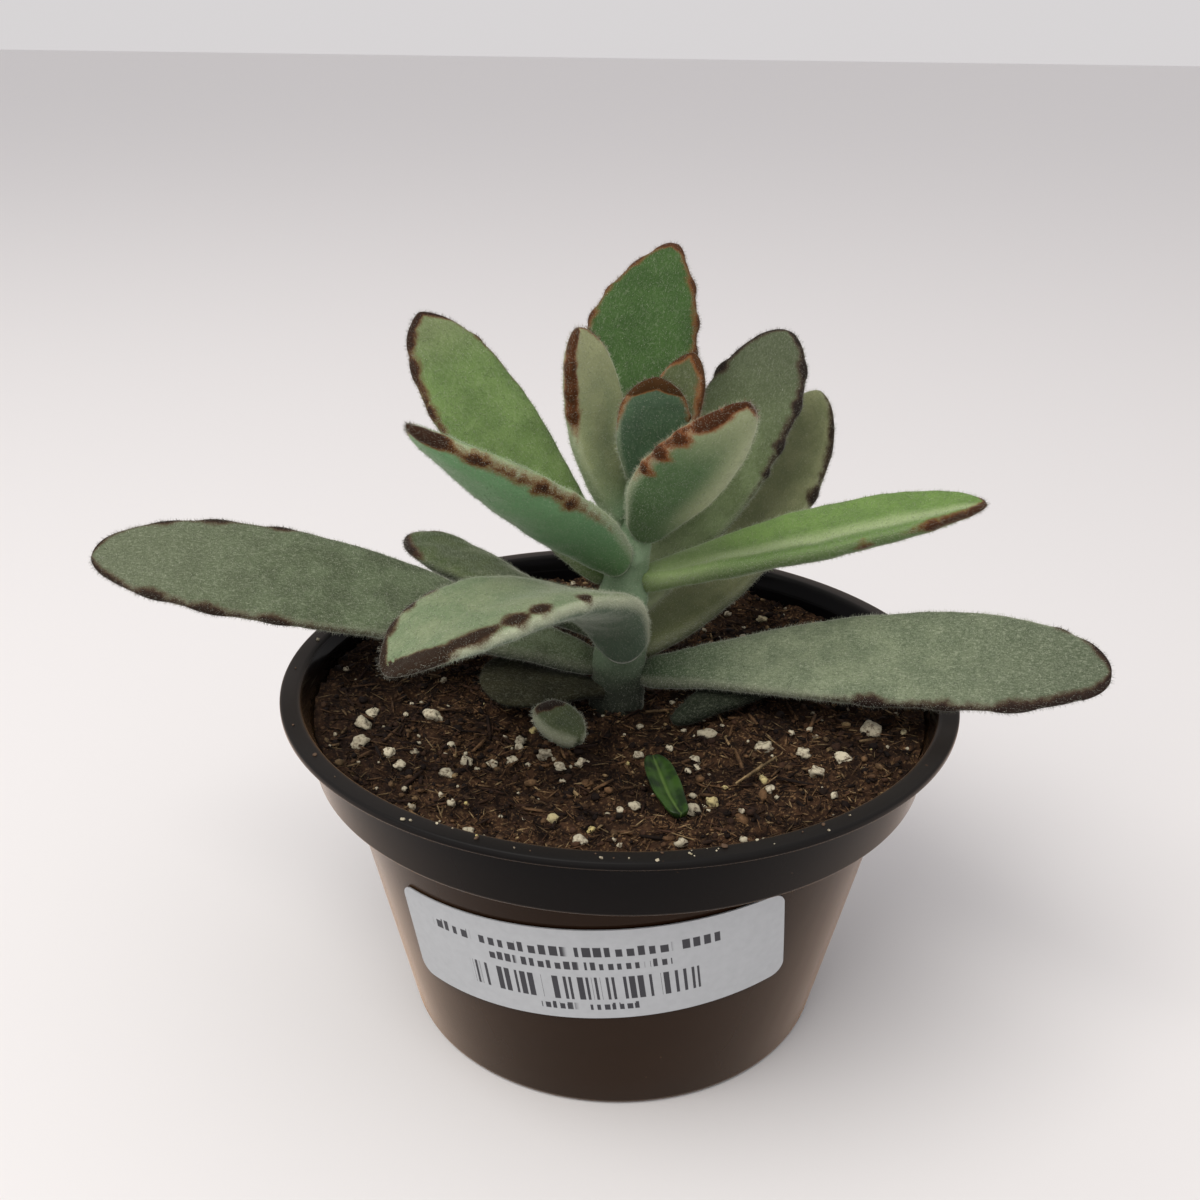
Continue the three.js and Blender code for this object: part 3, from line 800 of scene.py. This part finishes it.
def mark_depth(leaf, t, side, inward):
    """How deep in mm the leaf's marks reach in from the margin of each side, less a distance."""
    depth = np.full(np.shape(t), float(UNMARKED))
    for mark_side, centre, half, width, shift in marks_of(leaf):
        reach = width * (1 - ((t - centre) / half) ** 2) - np.abs(inward - shift)
        depth = np.where(side == mark_side, np.maximum(depth, reach), depth)
    return depth


def tooth(leaf, t, side):
    """The blunt tooth under each short mark: how far the margin stands out there."""
    out = np.zeros(np.shape(t))
    for mark_side, centre, half, width, _ in marks_of(leaf):
        if half < TOOTH_LENGTH:
            swell = np.maximum(0, 1 - ((t - centre) / half) ** 2)
            out = np.maximum(out, np.where(side == mark_side, TOOTH_SHARE * width * swell, 0))
    return out


def uneven(point, seed):
    return noise.noise(point * 0.16 + seed) + 0.4 * noise.noise(point * 0.5 + seed)


def blade(name, leaf):
    """The leaf's skin: a sphere whose rings become sections of the blade, from its foot to its tip.

    Its form is its foot's share of its width, where along it is widest, and how late and how bluntly
    its tip closes.
    """
    length, width, thickness = leaf["length"], leaf["width"], leaf["thickness"]
    foot, widest, power, blunt = leaf["form"]
    piece = primitive(
        name, bpy.ops.mesh.primitive_uv_sphere_add, segments=BLADE_SEGMENTS, ring_count=BLADE_RINGS, radius=1
    )
    ball = np.array([v.co for v in piece.data.vertices])
    ring = np.arccos(np.clip(-ball[:, 2], -1, 1)) / math.pi
    t = 1 - (1 - ring) ** TIP_CROWDING
    angle = np.arctan2(ball[:, 1], ball[:, 0])
    angle = np.where(np.hypot(ball[:, 0], ball[:, 1]) < 1e-6, math.pi / 2, angle)
    x, z = fuller(np.cos(angle)), fuller(np.sin(angle))
    side = np.where(x >= 0, 1, -1)
    middle, forward, across, up = blade_axes(leaf, t)
    swell = foot + (1 - foot) * np.sin(math.pi / 2 * np.minimum(t / widest, 1)) ** 1.3
    past = np.maximum(0, (t - widest) / (1 - widest))
    snug = 1 - NECK_PINCH * np.clip(1 - t / NECK_LENGTH, 0, 1) ** 2
    half = width / 2 * swell * (1 - past ** power) ** blunt * snug
    thick = np.minimum(thickness / 2 * np.sqrt(1 - np.maximum(0, 2 * t - 1) ** 2.2), 0.9 * half)
    inward = np.hypot(half * (1 - np.abs(x)), 0.55 * thick * z) * np.sign(z)
    margin = half + tooth(leaf, t, side) * np.abs(x) ** 3
    off_rib = x - leaf.get("rib_at", 0)
    channel = leaf.get("channel", 0) * np.exp(-((off_rib / CHANNEL_WIDTH) ** 2)) * np.clip(z, 0, 1)
    channel *= np.sin(math.pi * t) ** 0.5
    straight = np.stack([margin * x, thick * z, t * length], 1)
    seed = Vector((leaf["bearing"], leaf["rise"], length))
    ripple = RIPPLE * np.array([uneven(Vector(point), seed) for point in straight])
    rise = thick * z + leaf["cup"] * half * x * x - channel + ripple
    points = middle + across * (margin * x)[:, None] + up * rise[:, None]
    piece.data.vertices.foreach_set("co", (points * MM).ravel())
    keep_tones(
        piece.data, rim=mark_depth(leaf, t, side, inward), along=t, upper=z, inward=np.abs(inward),
        rib=np.abs(off_rib), straight=straight,
    )
    piece.data.update()
    smooth(piece, 80)
    return piece, forward


FELT_PER_MM2 = 8.5
FELT_LENGTH = 0.42
FELT_WIDTH = 0.038
FELT_LEAN = 0.4
FELT_STRAY = 0.45
FRINGE_WIDTH = 0.6


def per_point(data, field, size=1, kind=np.float32):
    """What a mesh holds in a field for each of its points, with a row for each where there are several."""
    values = np.empty(len(data) * size, kind)
    data.foreach_get(field, values)
    return values if size == 1 else values.reshape(-1, size)


def felt(name, piece, forward, density=1.0, longer=1.0):
    """Fine hairs all over a piece, leaning towards its tip, each with the colour of its place.

    Blender numbers a sphere's points anew each run, so its triangles are first put in order of place.
    """
    mesh = piece.data
    mesh.calc_loop_triangles()
    points = per_point(mesh.vertices, "co", 3, float) / MM
    in_place = np.lexsort(points.round(3).T)
    corners = in_place.argsort()[np.array([t.vertices[:] for t in mesh.loop_triangles])]
    corners = in_place[np.unique(np.sort(corners, axis=1), axis=0)]
    a, b, c = points[corners].transpose(1, 0, 2)
    area = np.linalg.norm(np.cross(b - a, c - a), axis=1) / 2
    count = int(area.sum() * FELT_PER_MM2 * density)
    inward = per_point(mesh.attributes["inward"].data, "value")
    wanted = area * (1 + 2.5 * np.exp(-inward[corners].mean(1) / FRINGE_WIDTH))
    chosen = corners[rng.choice(len(corners), count, p=wanted / wanted.sum())]
    share = rng.dirichlet((1, 1, 1), count)

    def there(values):
        return np.einsum("nk,nk...->n...", share, values[chosen])

    normal = there(per_point(mesh.vertices, "normal", 3, float))
    axis = normal + there(forward) * FELT_LEAN + rng.normal(0, FELT_STRAY, (count, 3))
    axis += normal * np.maximum(0, 0.25 - (axis * normal).sum(1))[:, None]
    turned_axes = axes_for(axis, np.roll(axis, 1, axis=1) + (0.3, 0.1, 0.2))
    length = FELT_LENGTH * longer * rng.uniform(0.5, 1.25, count) * (1 + 0.5 * np.exp(-there(inward) / 0.5))
    width = FELT_WIDTH * rng.uniform(0.7, 1.3, count)
    sizes = np.stack([width, length, width], 1)
    places = np.concatenate([turned_axes * sizes[:, None, :], there(points)[:, :, None]], 2) * MM
    hair = primitive(
        "hair", bpy.ops.mesh.primitive_cone_add, vertices=3, radius1=0.5, radius2=0, depth=1,
        rotation=(-math.pi / 2, 0, 0),
    )
    for vertex in hair.data.vertices:
        vertex.co.y += 0.45
    tones = {"hair": rng.uniform(0.6, 1, count)}
    for key in ("rim", "along", "upper", "inward", "rib"):
        tones[key] = there(per_point(mesh.attributes[key].data, "value"))
    tones["straight"] = there(per_point(mesh.attributes["straight"].data, "vector", 3))
    return strewn(name, hair, places, **tones)


MARK_BROWNS = ((78, 54, 38), (40, 29, 23))
FELT_PALE = (0.6, 0.64, 0.48, 1)
FELT_DEEP = (0.02, 0.035, 0.012, 1)
# The pale margin band is partly denser white hairs and partly painted rim light.
FRINGE_HAIRS_AND_RIM_LIGHT = (0.6, 0.63, 0.46, 1)
HAIR_WHITE = (0.72, 0.75, 0.6, 1)


def felted(
    name, face, shade, back, mark=MARK_BROWNS, foot=None, tip=None, tip_from=0.6, rib=None, half=None,
    edge=0.3, downy=1.0, grain=1.0, sheen=1.0,
):
    """The felt's colours: its upper face and what shades it, its back, and its marks' edge and heart.

    Other colours may take over at its foot, its tip, its midrib and one half; a pale midrib can be
    a painted highlight and a paler half painted light. Its edge is how pale the margin band is, partly
    denser white hairs and partly painted rim light, downy how white the hairs are and grain how rough
    the colour looks.
    """
    material, tree, shader = new_material(
        name, Roughness=0.85, Specular_IOR_Level=0.15, Sheen_Weight=sheen, Sheen_Roughness=0.2,
        Sheen_Tint=(0.92, 0.94, 0.8, 1),
    )
    straight = stored(tree, "straight", "Vector")
    streaks = speckle(add("Mapping", straight, None, None, (1, 1, 0.5), vector_type="POINT"), 3.6, 4, 0.7)
    flecks = speckle(straight, 5.5, 3, 0.7)
    skin = mix(step(speckle(straight, 0.3, 2), 0.35, 0.65), srgb(*face), srgb(*shade))
    skin = mix(step(stored(tree, "upper"), 0.15, -0.35), skin, srgb(*back))
    if rib:
        skin = mix(step(stored(tree, "rib"), rib[0], 0.03, 0, 0.9), skin, srgb(*rib[1]))
    if half:
        skin = mix(step(add("SeparateXYZ", straight), half[0], half[1]), skin, srgb(*half[2]))
    if foot:
        skin = mix(step(stored(tree, "along"), 0.35, 0.05), skin, srgb(*foot))
    if tip:
        skin = mix(step(stored(tree, "along"), tip_from, 1), skin, srgb(*tip))
    pale = mix(0.4, skin, FELT_PALE)
    deep = mix(0.45, skin, FELT_DEEP)
    for pattern, spread, light, dark in ((streaks, 0, 0.25, 0.32), (flecks, 0.03, 0.3, 0.38)):
        skin = mix(step(pattern, 0.5 + spread, 0.7, 0, light * grain), skin, pale)
        skin = mix(step(pattern, 0.5 - spread, 0.3, 0, dark * grain), skin, deep)
    # Painted rim light: the pale band near the margin is partly denser white hairs, partly light on them.
    margin_hairs_and_rim_light = step(stored(tree, "inward"), 0.9, 0.1)
    skin = mix(times(margin_hairs_and_rim_light, edge), skin, FRINGE_HAIRS_AND_RIM_LIGHT)
    blots = speckle(straight, 0.9, 2, 0.6)
    ragged = reckon("MULTIPLY_ADD", reckon("SUBTRACT", blots, 0.5), 1.1, stored(tree, "rim"))
    ragged = reckon("MULTIPLY_ADD", reckon("SUBTRACT", flecks, 0.5), 0.9, ragged)
    brown = mix(step(ragged, -0.1, 0.6), srgb(*mark[0]), srgb(*mark[1]))
    skin = mix(0.03, mix(step(ragged, -0.65, 0.35), skin, brown), (0, 0, 0, 1))
    down = times(reckon("MULTIPLY_ADD", margin_hairs_and_rim_light, edge, 0.32), step(ragged, 0.3, -0.5, 0.15, 1))
    skin = mix(times(stored(tree, "hair"), times(down, downy)), skin, HAIR_WHITE)
    drive(shader, Base_Color=skin)
    bump(shader, streaks, 0.35, 0.2 * MM)
    return material


def dress(name, slot, finish, rooted=0.0, density=1.0, longer=1.0, **leaf):
    """A leaf whose foot is known, with its felt. Its length starts inside what it grows on."""
    leaf["length"], leaf["width"], leaf["thickness"] = leaf["size"]
    leaf["length"] += rooted
    piece, forward = blade(name + "_blade", leaf)
    finish_piece(piece, finish)
    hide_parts(name)
    if density:
        finish_piece(felt(name + "_felt", piece, forward, density, longer), finish)


def grow(name, slot, finish, at, longer=1.0, **leaf):
    """One leaf on the stem: its foot starts inside the stem, on the side that it grows from."""
    height, bearing = at
    middle, radius = stem_at(height)
    out = radius * (1 - ROOTING)
    facing = np.array([math.cos(math.radians(bearing)), math.sin(math.radians(bearing)), 0])
    dress(name, slot, finish, radius - out, longer=longer, foot=middle + out * facing, **leaf)


# ---------- stem ----------
# The stem is short, round and fleshy, felted as the leaves are, and darker and greyer at its foot.
# Fallen leaves have left shallow scars on it.

STEM_SIDES = 48
STEM_STATIONS = 90
STEM_DARKER_LENGTH = 12
STEM_SCARS = (  # height and bearing
    (47.5, -60), (48.5, 215), (51.5, 20), (53.5, -20), (55.8, 235), (58, -55), (61, 60), (64, -80),
)


def scar(height, bearing):
    """The swelling round the scars at a place of the stem."""
    swell = 0
    for scar_height, scar_bearing in STEM_SCARS:
        turn = math.remainder(bearing - math.radians(scar_bearing), 2 * math.pi)
        swell += 0.5 * math.exp(-((height - scar_height) / 0.9) ** 2 - (turn / 0.7) ** 2)
    return swell


heights, leans, radii = np.array(STEM_ROWS).T
stations = np.linspace(heights[0], heights[-1], STEM_STATIONS)
outline = [(float(np.interp(z, heights, radii)), float(z)) for z in stations]
stem = turned("stem_felted", outline + [(0.5, float(heights[-1]) + 0.5)], STEM_SIDES)
points = []
straight = []
for vertex in stem.data.vertices:
    x, y, z = vertex.co / MM
    bearing, radius = math.atan2(y, x), math.hypot(x, y)
    radius += scar(z, bearing) + 0.16 * noise.noise(Vector((x, y, z)) * 0.5)
    middle = np.interp(z, heights, leans)
    points.append((middle + radius * math.cos(bearing), STEM_Y + radius * math.sin(bearing), z))
    straight.append((3 * bearing, radius, z))
stem.data.vertices.foreach_set("co", (np.array(points) * MM).ravel())
ones = np.ones(len(points))
depth = 1 - (np.array(points)[:, 2] - SOIL_EDGE) / STEM_DARKER_LENGTH
keep_tones(
    stem.data, straight=straight, rim=UNMARKED * ones, along=depth, upper=ones, inward=3 * ones, rib=ones
)
stem.data.update()
smooth(stem, 80)
stem_green = felted(
    "stem_green", (138, 162, 130), (124, 148, 116), (126, 150, 118), tip=(56, 61, 52), tip_from=0.1,
)
finish_piece(stem, stem_green)
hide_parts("stem")
upward = np.tile((0, 0, 1.0), (len(points), 1))
finish_piece(felt("stem_felt_hairs", stem, upward, 0.8), stem_green)

# ---------- old leaves ----------
# The four lowest leaves are the oldest and longest. They reach out nearly level over the rim, their
# felt has thinned to a dull grey green, and the marks on their teeth are nearly black.

grow(
    "leaf_low_left", "old_leaf", at=(47.3, 174), bearing=173, rise=18.3, sweep=9.5, bend=-13, roll=-5.5,
    twist=-20.5, size=(68.7, 17.5, 4), cup=0.1, form=(0.23, 0.6, 2.6, 0.55), channel=0.35,
    left=(
        (0.62, 0.035, 0.9, -0.1), (0.75, 0.045, 1, -0.1), (0.86, 0.04, 1, 0), (0.85, 0.3, 0.25, 0),
        (0.97, 0.07, 0.8, 0),
    ),
    right=(
        (0.67, 0.03, 1.1, 0.3), (0.79, 0.04, 1.2, 0.3), (0.88, 0.03, 1, 0.3), (0.83, 0.25, 0.35, 0.2),
        (1, 0.05, 0.8, 0.1),
    ),
    finish=felted(
        "low_left_felt", (92, 104, 78), (76, 86, 63), (62, 71, 56), ((74, 56, 42), (42, 31, 24)),
        tip=(100, 108, 85), tip_from=0.45, edge=0.15, grain=2.1,
    ),
)

grow(
    "leaf_low_right", "old_leaf", at=(46.5, -11), bearing=-11.5, rise=13.5, sweep=-8.5, bend=-9.5,
    roll=14.5, twist=19.5, size=(59.3, 15, 4), cup=0.1, form=(0.27, 0.63, 2.6, 0.55), channel=0.35,
    left=((0.98, 0.05, 0.9, 0), (0.9, 0.02, 0.6, 0)),
    right=(
        (0.53, 0.04, 1.1, 0), (0.66, 0.2, 0.35, 0), (0.68, 0.035, 0.9, 0), (0.82, 0.05, 1.2, 0),
        (0.92, 0.13, 1.1, 0), (1, 0.06, 1.3, 0),
    ),
    finish=felted(
        "low_right_felt", (124, 134, 108), (107, 118, 94), (76, 84, 68), ((70, 52, 40), (42, 31, 26)),
        foot=(62, 78, 56), tip=(92, 101, 81), tip_from=0.5, edge=0.25, grain=2.4,
    ),
)

grow(
    "leaf_front_left", "grown_leaf", at=(50.5, -75), bearing=-109, rise=60.5, sweep=-43, bend=-89.5,
    roll=12.5, twist=-11, size=(45.9, 16.6, 4), cup=0.15, form=(0.4, 0.64, 2.6, 0.55), channel=0.3,
    left=(
        (1, 0.16, 3.1, 1.1), (0.82, 0.075, 1.3, 1.5), (0.725, 0.035, 1.2, 1.5), (0.665, 0.03, 1, 1.4),
        (0.55, 0.022, 0.9, 1),
    ),
    right=(
        (0.76, 0.03, 1.1, 0.3), (0.84, 0.03, 1.2, 0.3), (0.91, 0.035, 1.2, 0.3), (0.85, 0.2, 0.15, 0.2),
        (1, 0.07, 2, 0.6),
    ),
    finish=felted(
        "front_left_felt", (128, 140, 108), (114, 130, 98), (104, 124, 104), ((80, 58, 40), (44, 31, 21)),
        edge=0.55, grain=1.4,
    ),
)

grow(
    "leaf_back_left_low", "old_leaf", at=(52.5, 140), bearing=143.5, rise=0, sweep=-8.5, bend=10, roll=26,
    twist=-23, size=(38.2, 11.8, 3.6), cup=0.1, form=(0.36, 0.67, 2.6, 0.55),
    left=((0.92, 0.14, 1, 0.2), (1, 0.07, 1.1, 0)), right=((0.97, 0.06, 1, 0),),
    finish=felted("back_left_felt", (75, 88, 53), (66, 79, 49), (52, 63, 41), edge=0.06, grain=1.3),
)

# ---------- grown leaves ----------
# Above them stand the full-grown leaves. The two behind on the right have gone grey green with
# blackish margins, and the others are still a fresher green with brown teeth.

grow(
    "leaf_right_back_inner", "grown_leaf", at=(55, 80), bearing=56.5, rise=27.5, sweep=-30, bend=39,
    roll=16.5, twist=-2, size=(45.3, 15.4, 4), cup=0.12, form=(0.39, 0.68, 2.8, 0.6), channel=0.3,
    left=((0.9, 0.18, 0.65, 0.2), (0.82, 0.035, 1.6, 0.1), (1, 0.06, 0.7, 0.2)),
    right=(
        (1, 0.06, 0.7, 0.2), (0.91, 0.03, 1.1, 0.1), (0.8, 0.035, 1, 0.1), (0.67, 0.03, 1.1, 0.1),
        (0.58, 0.02, 0.8, 0.1), (0.8, 0.25, 0.45, 0.2),
    ),
    finish=felted(
        "inner_felt", (111, 126, 87), (95, 109, 72), (84, 102, 68), ((66, 52, 42), (38, 31, 27)),
        foot=(150, 161, 122), tip=(81, 89, 67), tip_from=0.4, edge=0.15, grain=1.2,
    ),
)

grow(
    "leaf_right_back_outer", "grown_leaf", at=(49, 58), bearing=44, rise=5, sweep=1, bend=64.5, roll=-2.5,
    twist=0.5, size=(50, 13.8, 4), cup=0.12, form=(0.36, 0.67, 2.6, 0.6), channel=0.3,
    right=((0.86, 0.13, 0.5, 0.1), (0.7, 0.03, 1, 0.1), (0.62, 0.02, 0.7, 0.1)),
    finish=felted(
        "outer_felt", (134, 138, 101), (118, 124, 88), (88, 96, 66), ((66, 52, 38), (40, 32, 26)),
        foot=(106, 112, 76), edge=0.15,
    ),
)

grow(
    "leaf_mid_right", "green_leaf", at=(60, -1), bearing=-2.5, rise=16.5, sweep=0.5, bend=-2, roll=0.5,
    twist=4, size=(44.4, 12.9, 3.5), cup=0.22, form=(0.4, 0.53, 2.4, 0.63), channel=0.3, rib_at=-0.45,
    left=((1, 0.02, 1, 0),),
    right=((0.64, 0.025, 0.5, -0.7), (0.9, 0.12, 0.6, -0.1), (0.83, 0.03, 0.85, -0.1), (1, 0.09, 1.4, 0)),
    finish=felted(
        "mid_right_felt", (110, 139, 73), (101, 129, 68), (84, 110, 60), ((112, 70, 40), (70, 44, 28)),
        # Painted highlight: the pale band along the off-centre midrib stands for light on its fold.
        foot=(136, 158, 102), rib=(0.5, (158, 176, 126)), half=(-3.6, -5.4, (100, 128, 70)), edge=0.08,
    ),
)

grow(
    "leaf_upper_left_front", "green_leaf", at=(63, -118), bearing=-134.5, rise=36.5, sweep=-12.5, bend=2.5,
    roll=28, twist=-25.5, size=(38.3, 15.1, 4), cup=0.15, form=(0.34, 0.49, 2.6, 0.7),
    left=(
        (0.835, 0.05, 0.7, -0.5), (0.625, 0.04, 0.7, -0.5), (0.505, 0.035, 0.6, -0.5),
        (0.74, 0.34, 0.3, -0.4), (1, 0.11, 1.6, -0.3),
    ),
    right=((1, 0.08, 1.5, 0),),
    finish=felted(
        "upper_front_felt", (114, 146, 88), (102, 134, 80), (109, 150, 107), ((118, 78, 42), (50, 31, 19)),
        foot=(103, 141, 93), edge=0.42, grain=1.1,
    ),
)

grow(
    "leaf_upper_left_back", "green_leaf", at=(60, 152), bearing=149, rise=35.5, sweep=-1.5, bend=20,
    roll=-15, twist=1.5, size=(43.2, 15, 4), cup=0.12, form=(0.32, 0.61, 2.4, 0.65), channel=0.3,
    left=(
        (0.84, 0.24, 0.45, 0.2), (0.7, 0.035, 0.6, 0.2), (0.84, 0.045, 0.9, 0.2), (0.93, 0.045, 1, 0.2),
        (1, 0.08, 1.8, 0),
    ),
    right=((1, 0.08, 1.6, 0), (0.82, 0.25, 0.35, 0.1), (0.86, 0.025, 0.7, 0.1)),
    finish=felted(
        "upper_back_felt", (114, 139, 82), (102, 127, 73), (88, 110, 74), ((98, 66, 44), (50, 34, 26)),
        foot=(94, 118, 64), tip=(122, 134, 94), tip_from=0.75, edge=0.15, grain=1.4,
    ),
)

grow(
    "leaf_top_back", "green_leaf", at=(66.5, 92), bearing=101, rise=48, sweep=-46.5, bend=2, roll=5.5,
    twist=4.5, size=(42.3, 15.5, 4), cup=0.12, form=(0.28, 0.58, 2.2, 0.8), channel=0.3,
    left=(
        (0.69, 0.035, 1.1, 0), (0.9, 0.035, 1, 0), (0.79, 0.025, 0.8, 0), (0.8, 0.36, 0.35, 0.2),
        (1, 0.05, 1.4, 0.1),
    ),
    right=(
        (1, 0.05, 1.4, 0.1), (0.86, 0.035, 1, 0), (0.73, 0.035, 1, 0), (0.62, 0.03, 1, 0),
        (0.8, 0.36, 0.35, 0.2),
    ),
    finish=felted(
        "top_felt", (61, 88, 44), (54, 80, 39), (50, 73, 41), ((112, 74, 44), (76, 48, 30)), edge=0.12,
        downy=0.75,
    ),
)

# ---------- young leaves ----------
# The leaves of the crown are small, thick and upright, pressed round the growing tip. Their felt is
# dense and pale over a bluish green, and the hairs of their teeth are bright rust.

grow(
    "leaf_crown_left", "young_leaf", at=(68.1, 203), bearing=167.5, rise=66.5, sweep=8.5, bend=19, roll=-25,
    twist=8.5, size=(25.2, 12.5, 3.5), cup=0.22, form=(0.24, 0.58, 2.8, 0.6), longer=1.15,
    left=(
        (0.8, 0.24, 0.9, 0.2), (0.65, 0.04, 0.9, 0.3), (0.75, 0.04, 1.1, 0.2), (0.86, 0.05, 1.2, 0.2),
        (1, 0.12, 1.4, -0.1),
    ),
    right=((0.95, 0.12, 0.5, 0.1),),
    finish=felted(
        "crown_left_felt", (160, 168, 124), (144, 156, 116), (136, 152, 112), ((122, 70, 40), (72, 42, 20)),
        foot=(124, 150, 115), tip=(162, 166, 124), tip_from=0.5, edge=0.35, grain=1.3,
    ),
)

grow(
    "leaf_crown_centre", "young_leaf", at=(74.6, 238), bearing=117, rise=103.5, sweep=-4, bend=0, roll=-3.5,
    twist=-11.5, size=(13.6, 9.1, 3), cup=0.22, form=(0.5, 0.55, 2.8, 0.6), longer=1.15,
    left=((0.84, 0.24, 0.35, 0), (1, 0.15, 4, 0)),
    right=((0.8, 0.3, 0.45, 0), (0.66, 0.05, 0.8, 0), (1, 0.15, 4, 0)),
    finish=felted(
        "crown_centre_felt", (85, 110, 85), (77, 100, 79), (92, 118, 90), ((134, 84, 46), (66, 42, 18)),
        downy=0.8,
    ),
)

grow(
    "leaf_crown_front", "young_leaf", at=(67.3, -42), bearing=-57.5, rise=46, sweep=11, bend=7.5, roll=-21,
    twist=12.5, size=(26.7, 13.2, 4), cup=0.15, form=(0.37, 0.5, 2.4, 0.65), longer=1.15,
    left=((1, 0.12, 0.9, 0),),
    right=(
        (0.53, 0.035, 0.8, -0.3), (0.65, 0.04, 0.85, -0.3), (0.77, 0.045, 0.9, -0.3),
        (0.9, 0.09, 1.2, -0.3), (0.8, 0.3, 0.4, 0), (1, 0.06, 1.2, 0),
    ),
    finish=felted(
        "crown_front_felt", (112, 134, 90), (100, 124, 82), (92, 119, 80), ((136, 80, 46), (68, 38, 18)),
        # Painted light: the paler half (178, 186, 146) is the side that the light falls on.
        foot=(88, 112, 76), tip=(162, 170, 131), tip_from=0.6, half=(-1.5, 4, (178, 186, 146)), edge=0.45,
        grain=1.1,
    ),
)

grow(
    "leaf_crown_back", "young_leaf", at=(72.5, 48), bearing=43.5, rise=62, sweep=3.5, bend=6.5, roll=8.5,
    twist=2.5, size=(17.4, 7.6, 2.6), cup=0.22, form=(0.5, 0.54, 2.6, 0.7), longer=1.15,
    left=((1, 0.16, 1.4, 0), (0.86, 0.2, 0.35, 0.1)), right=((0.78, 0.3, 0.7, 0.1), (1, 0.2, 1.6, 0)),
    finish=felted(
        "crown_back_felt", (79, 87, 57), (71, 79, 54), (72, 83, 56), ((128, 80, 46), (74, 46, 24)),
    ),
)

# ---------- withered and shed leaves ----------
# Under the lowest leaves a small withered one still hangs on the stem. Others have dropped: one lies
# half buried at the right, a plump stub lies in front, and a glossy green scrap has lost its felt.

grow(
    "leaf_under_left", "shed_leaf", at=(44.9, 236), bearing=185, rise=8, sweep=1.5, bend=-1.5, roll=6,
    twist=-17, size=(16, 12.4, 1.9), cup=0.04, form=(0.22, 0.64, 2.4, 0.55),
    finish=felted("withered_felt", (46, 44, 29), (37, 35, 23), (32, 30, 22), edge=0, downy=0.04, sheen=0.2),
)

dress(
    "leaf_fallen", "shed_leaf", foot=(6.8, -8.3, 44.9), bearing=40.5, rise=3.5, sweep=5, bend=-2.5, roll=-5,
    twist=0.5, size=(26, 9, 2.4), cup=0.08, form=(0.18, 0.62, 2.6, 0.55),
    finish=felted("fallen_felt", (36, 42, 31), (30, 36, 26), (22, 28, 18), edge=0, downy=0.05, sheen=0.2),
)

dress(
    "leaf_shed_small", "shed_leaf", foot=(-5.1, -13.9, 45), bearing=129.5, rise=13, sweep=-5.5, bend=-5,
    roll=0, twist=0, size=(8.5, 5.8, 3.4), cup=0, form=(0.45, 0.42, 2.6, 0.5), left=((0.8, 0.2, 1.8, 2.2),),
    right=((0.8, 0.2, 1.8, 2.2),),
    finish=felted("stub_felt", (85, 94, 65), (74, 84, 60), (67, 75, 55), edge=0.5, grain=1.3),
)

scrap_green, tree, shader = new_material("scrap_green", Roughness=0.42, Specular_IOR_Level=0.35)
mottle = speckle(own_place(tree), 500, 3)
mottled = mix(step(mottle, 0.35, 0.65), srgb(22, 41, 13), srgb(48, 75, 24))
ridge = step(stored(tree, "rib"), 0.16, 0.03, 0, 0.42)
drive(shader, Base_Color=mix(ridge, mottled, srgb(104, 130, 66)))
bump(shader, mottle, 0.3, 0.3 * MM)
dress(
    "leaf_scrap_green", "green_scrap", foot=(6.9, -30.4, 44.7), bearing=108, rise=4, sweep=-10, bend=-2,
    roll=0, twist=0, size=(12.9, 3.7, 1.2), cup=0.35, channel=0.5, form=(0.62, 0.5, 2.4, 0.5), density=0,
    finish=scrap_green,
)

# ---------- studio ----------
# A wide pale floor under a pale sky, with one large soft lamp above and to the left of the camera.

FLOOR_SIZE = 8
ROOM_BRIGHTNESS = 0.88
LAMP_PLACE = Vector((-0.3, -0.35, 0.75))
LAMP_SIZE = (0.7, 0.5)
LAMP_WATTS = 5

floor = primitive("floor", bpy.ops.mesh.primitive_plane_add, size=FLOOR_SIZE)
floor_pale, tree, shader = new_material(
    "floor_pale", Base_Color=srgb(232, 230, 230), Roughness=0.7, Specular_IOR_Level=0.3
)
floor.data.materials.append(floor_pale)

world = bpy.data.worlds.new("pale_room")
world.use_nodes = True
drive(world.node_tree.nodes["Background"], Color=srgb(228, 225, 226), Strength=ROOM_BRIGHTNESS)
bpy.context.scene.world = world

bpy.ops.object.light_add(type="AREA", location=LAMP_PLACE)
lamp = bpy.context.object
lamp.name = "soft_lamp"
lamp.data.shape = "RECTANGLE"
lamp.data.size, lamp.data.size_y = LAMP_SIZE
lamp.data.energy = LAMP_WATTS
lamp.data.color = (1, 0.97, 0.92)
lamp.rotation_euler = (-LAMP_PLACE).to_track_quat("-Z", "Y").to_euler()
bpy.context.scene.view_settings.view_transform = "Standard"

bpy.context.view_layer.update()
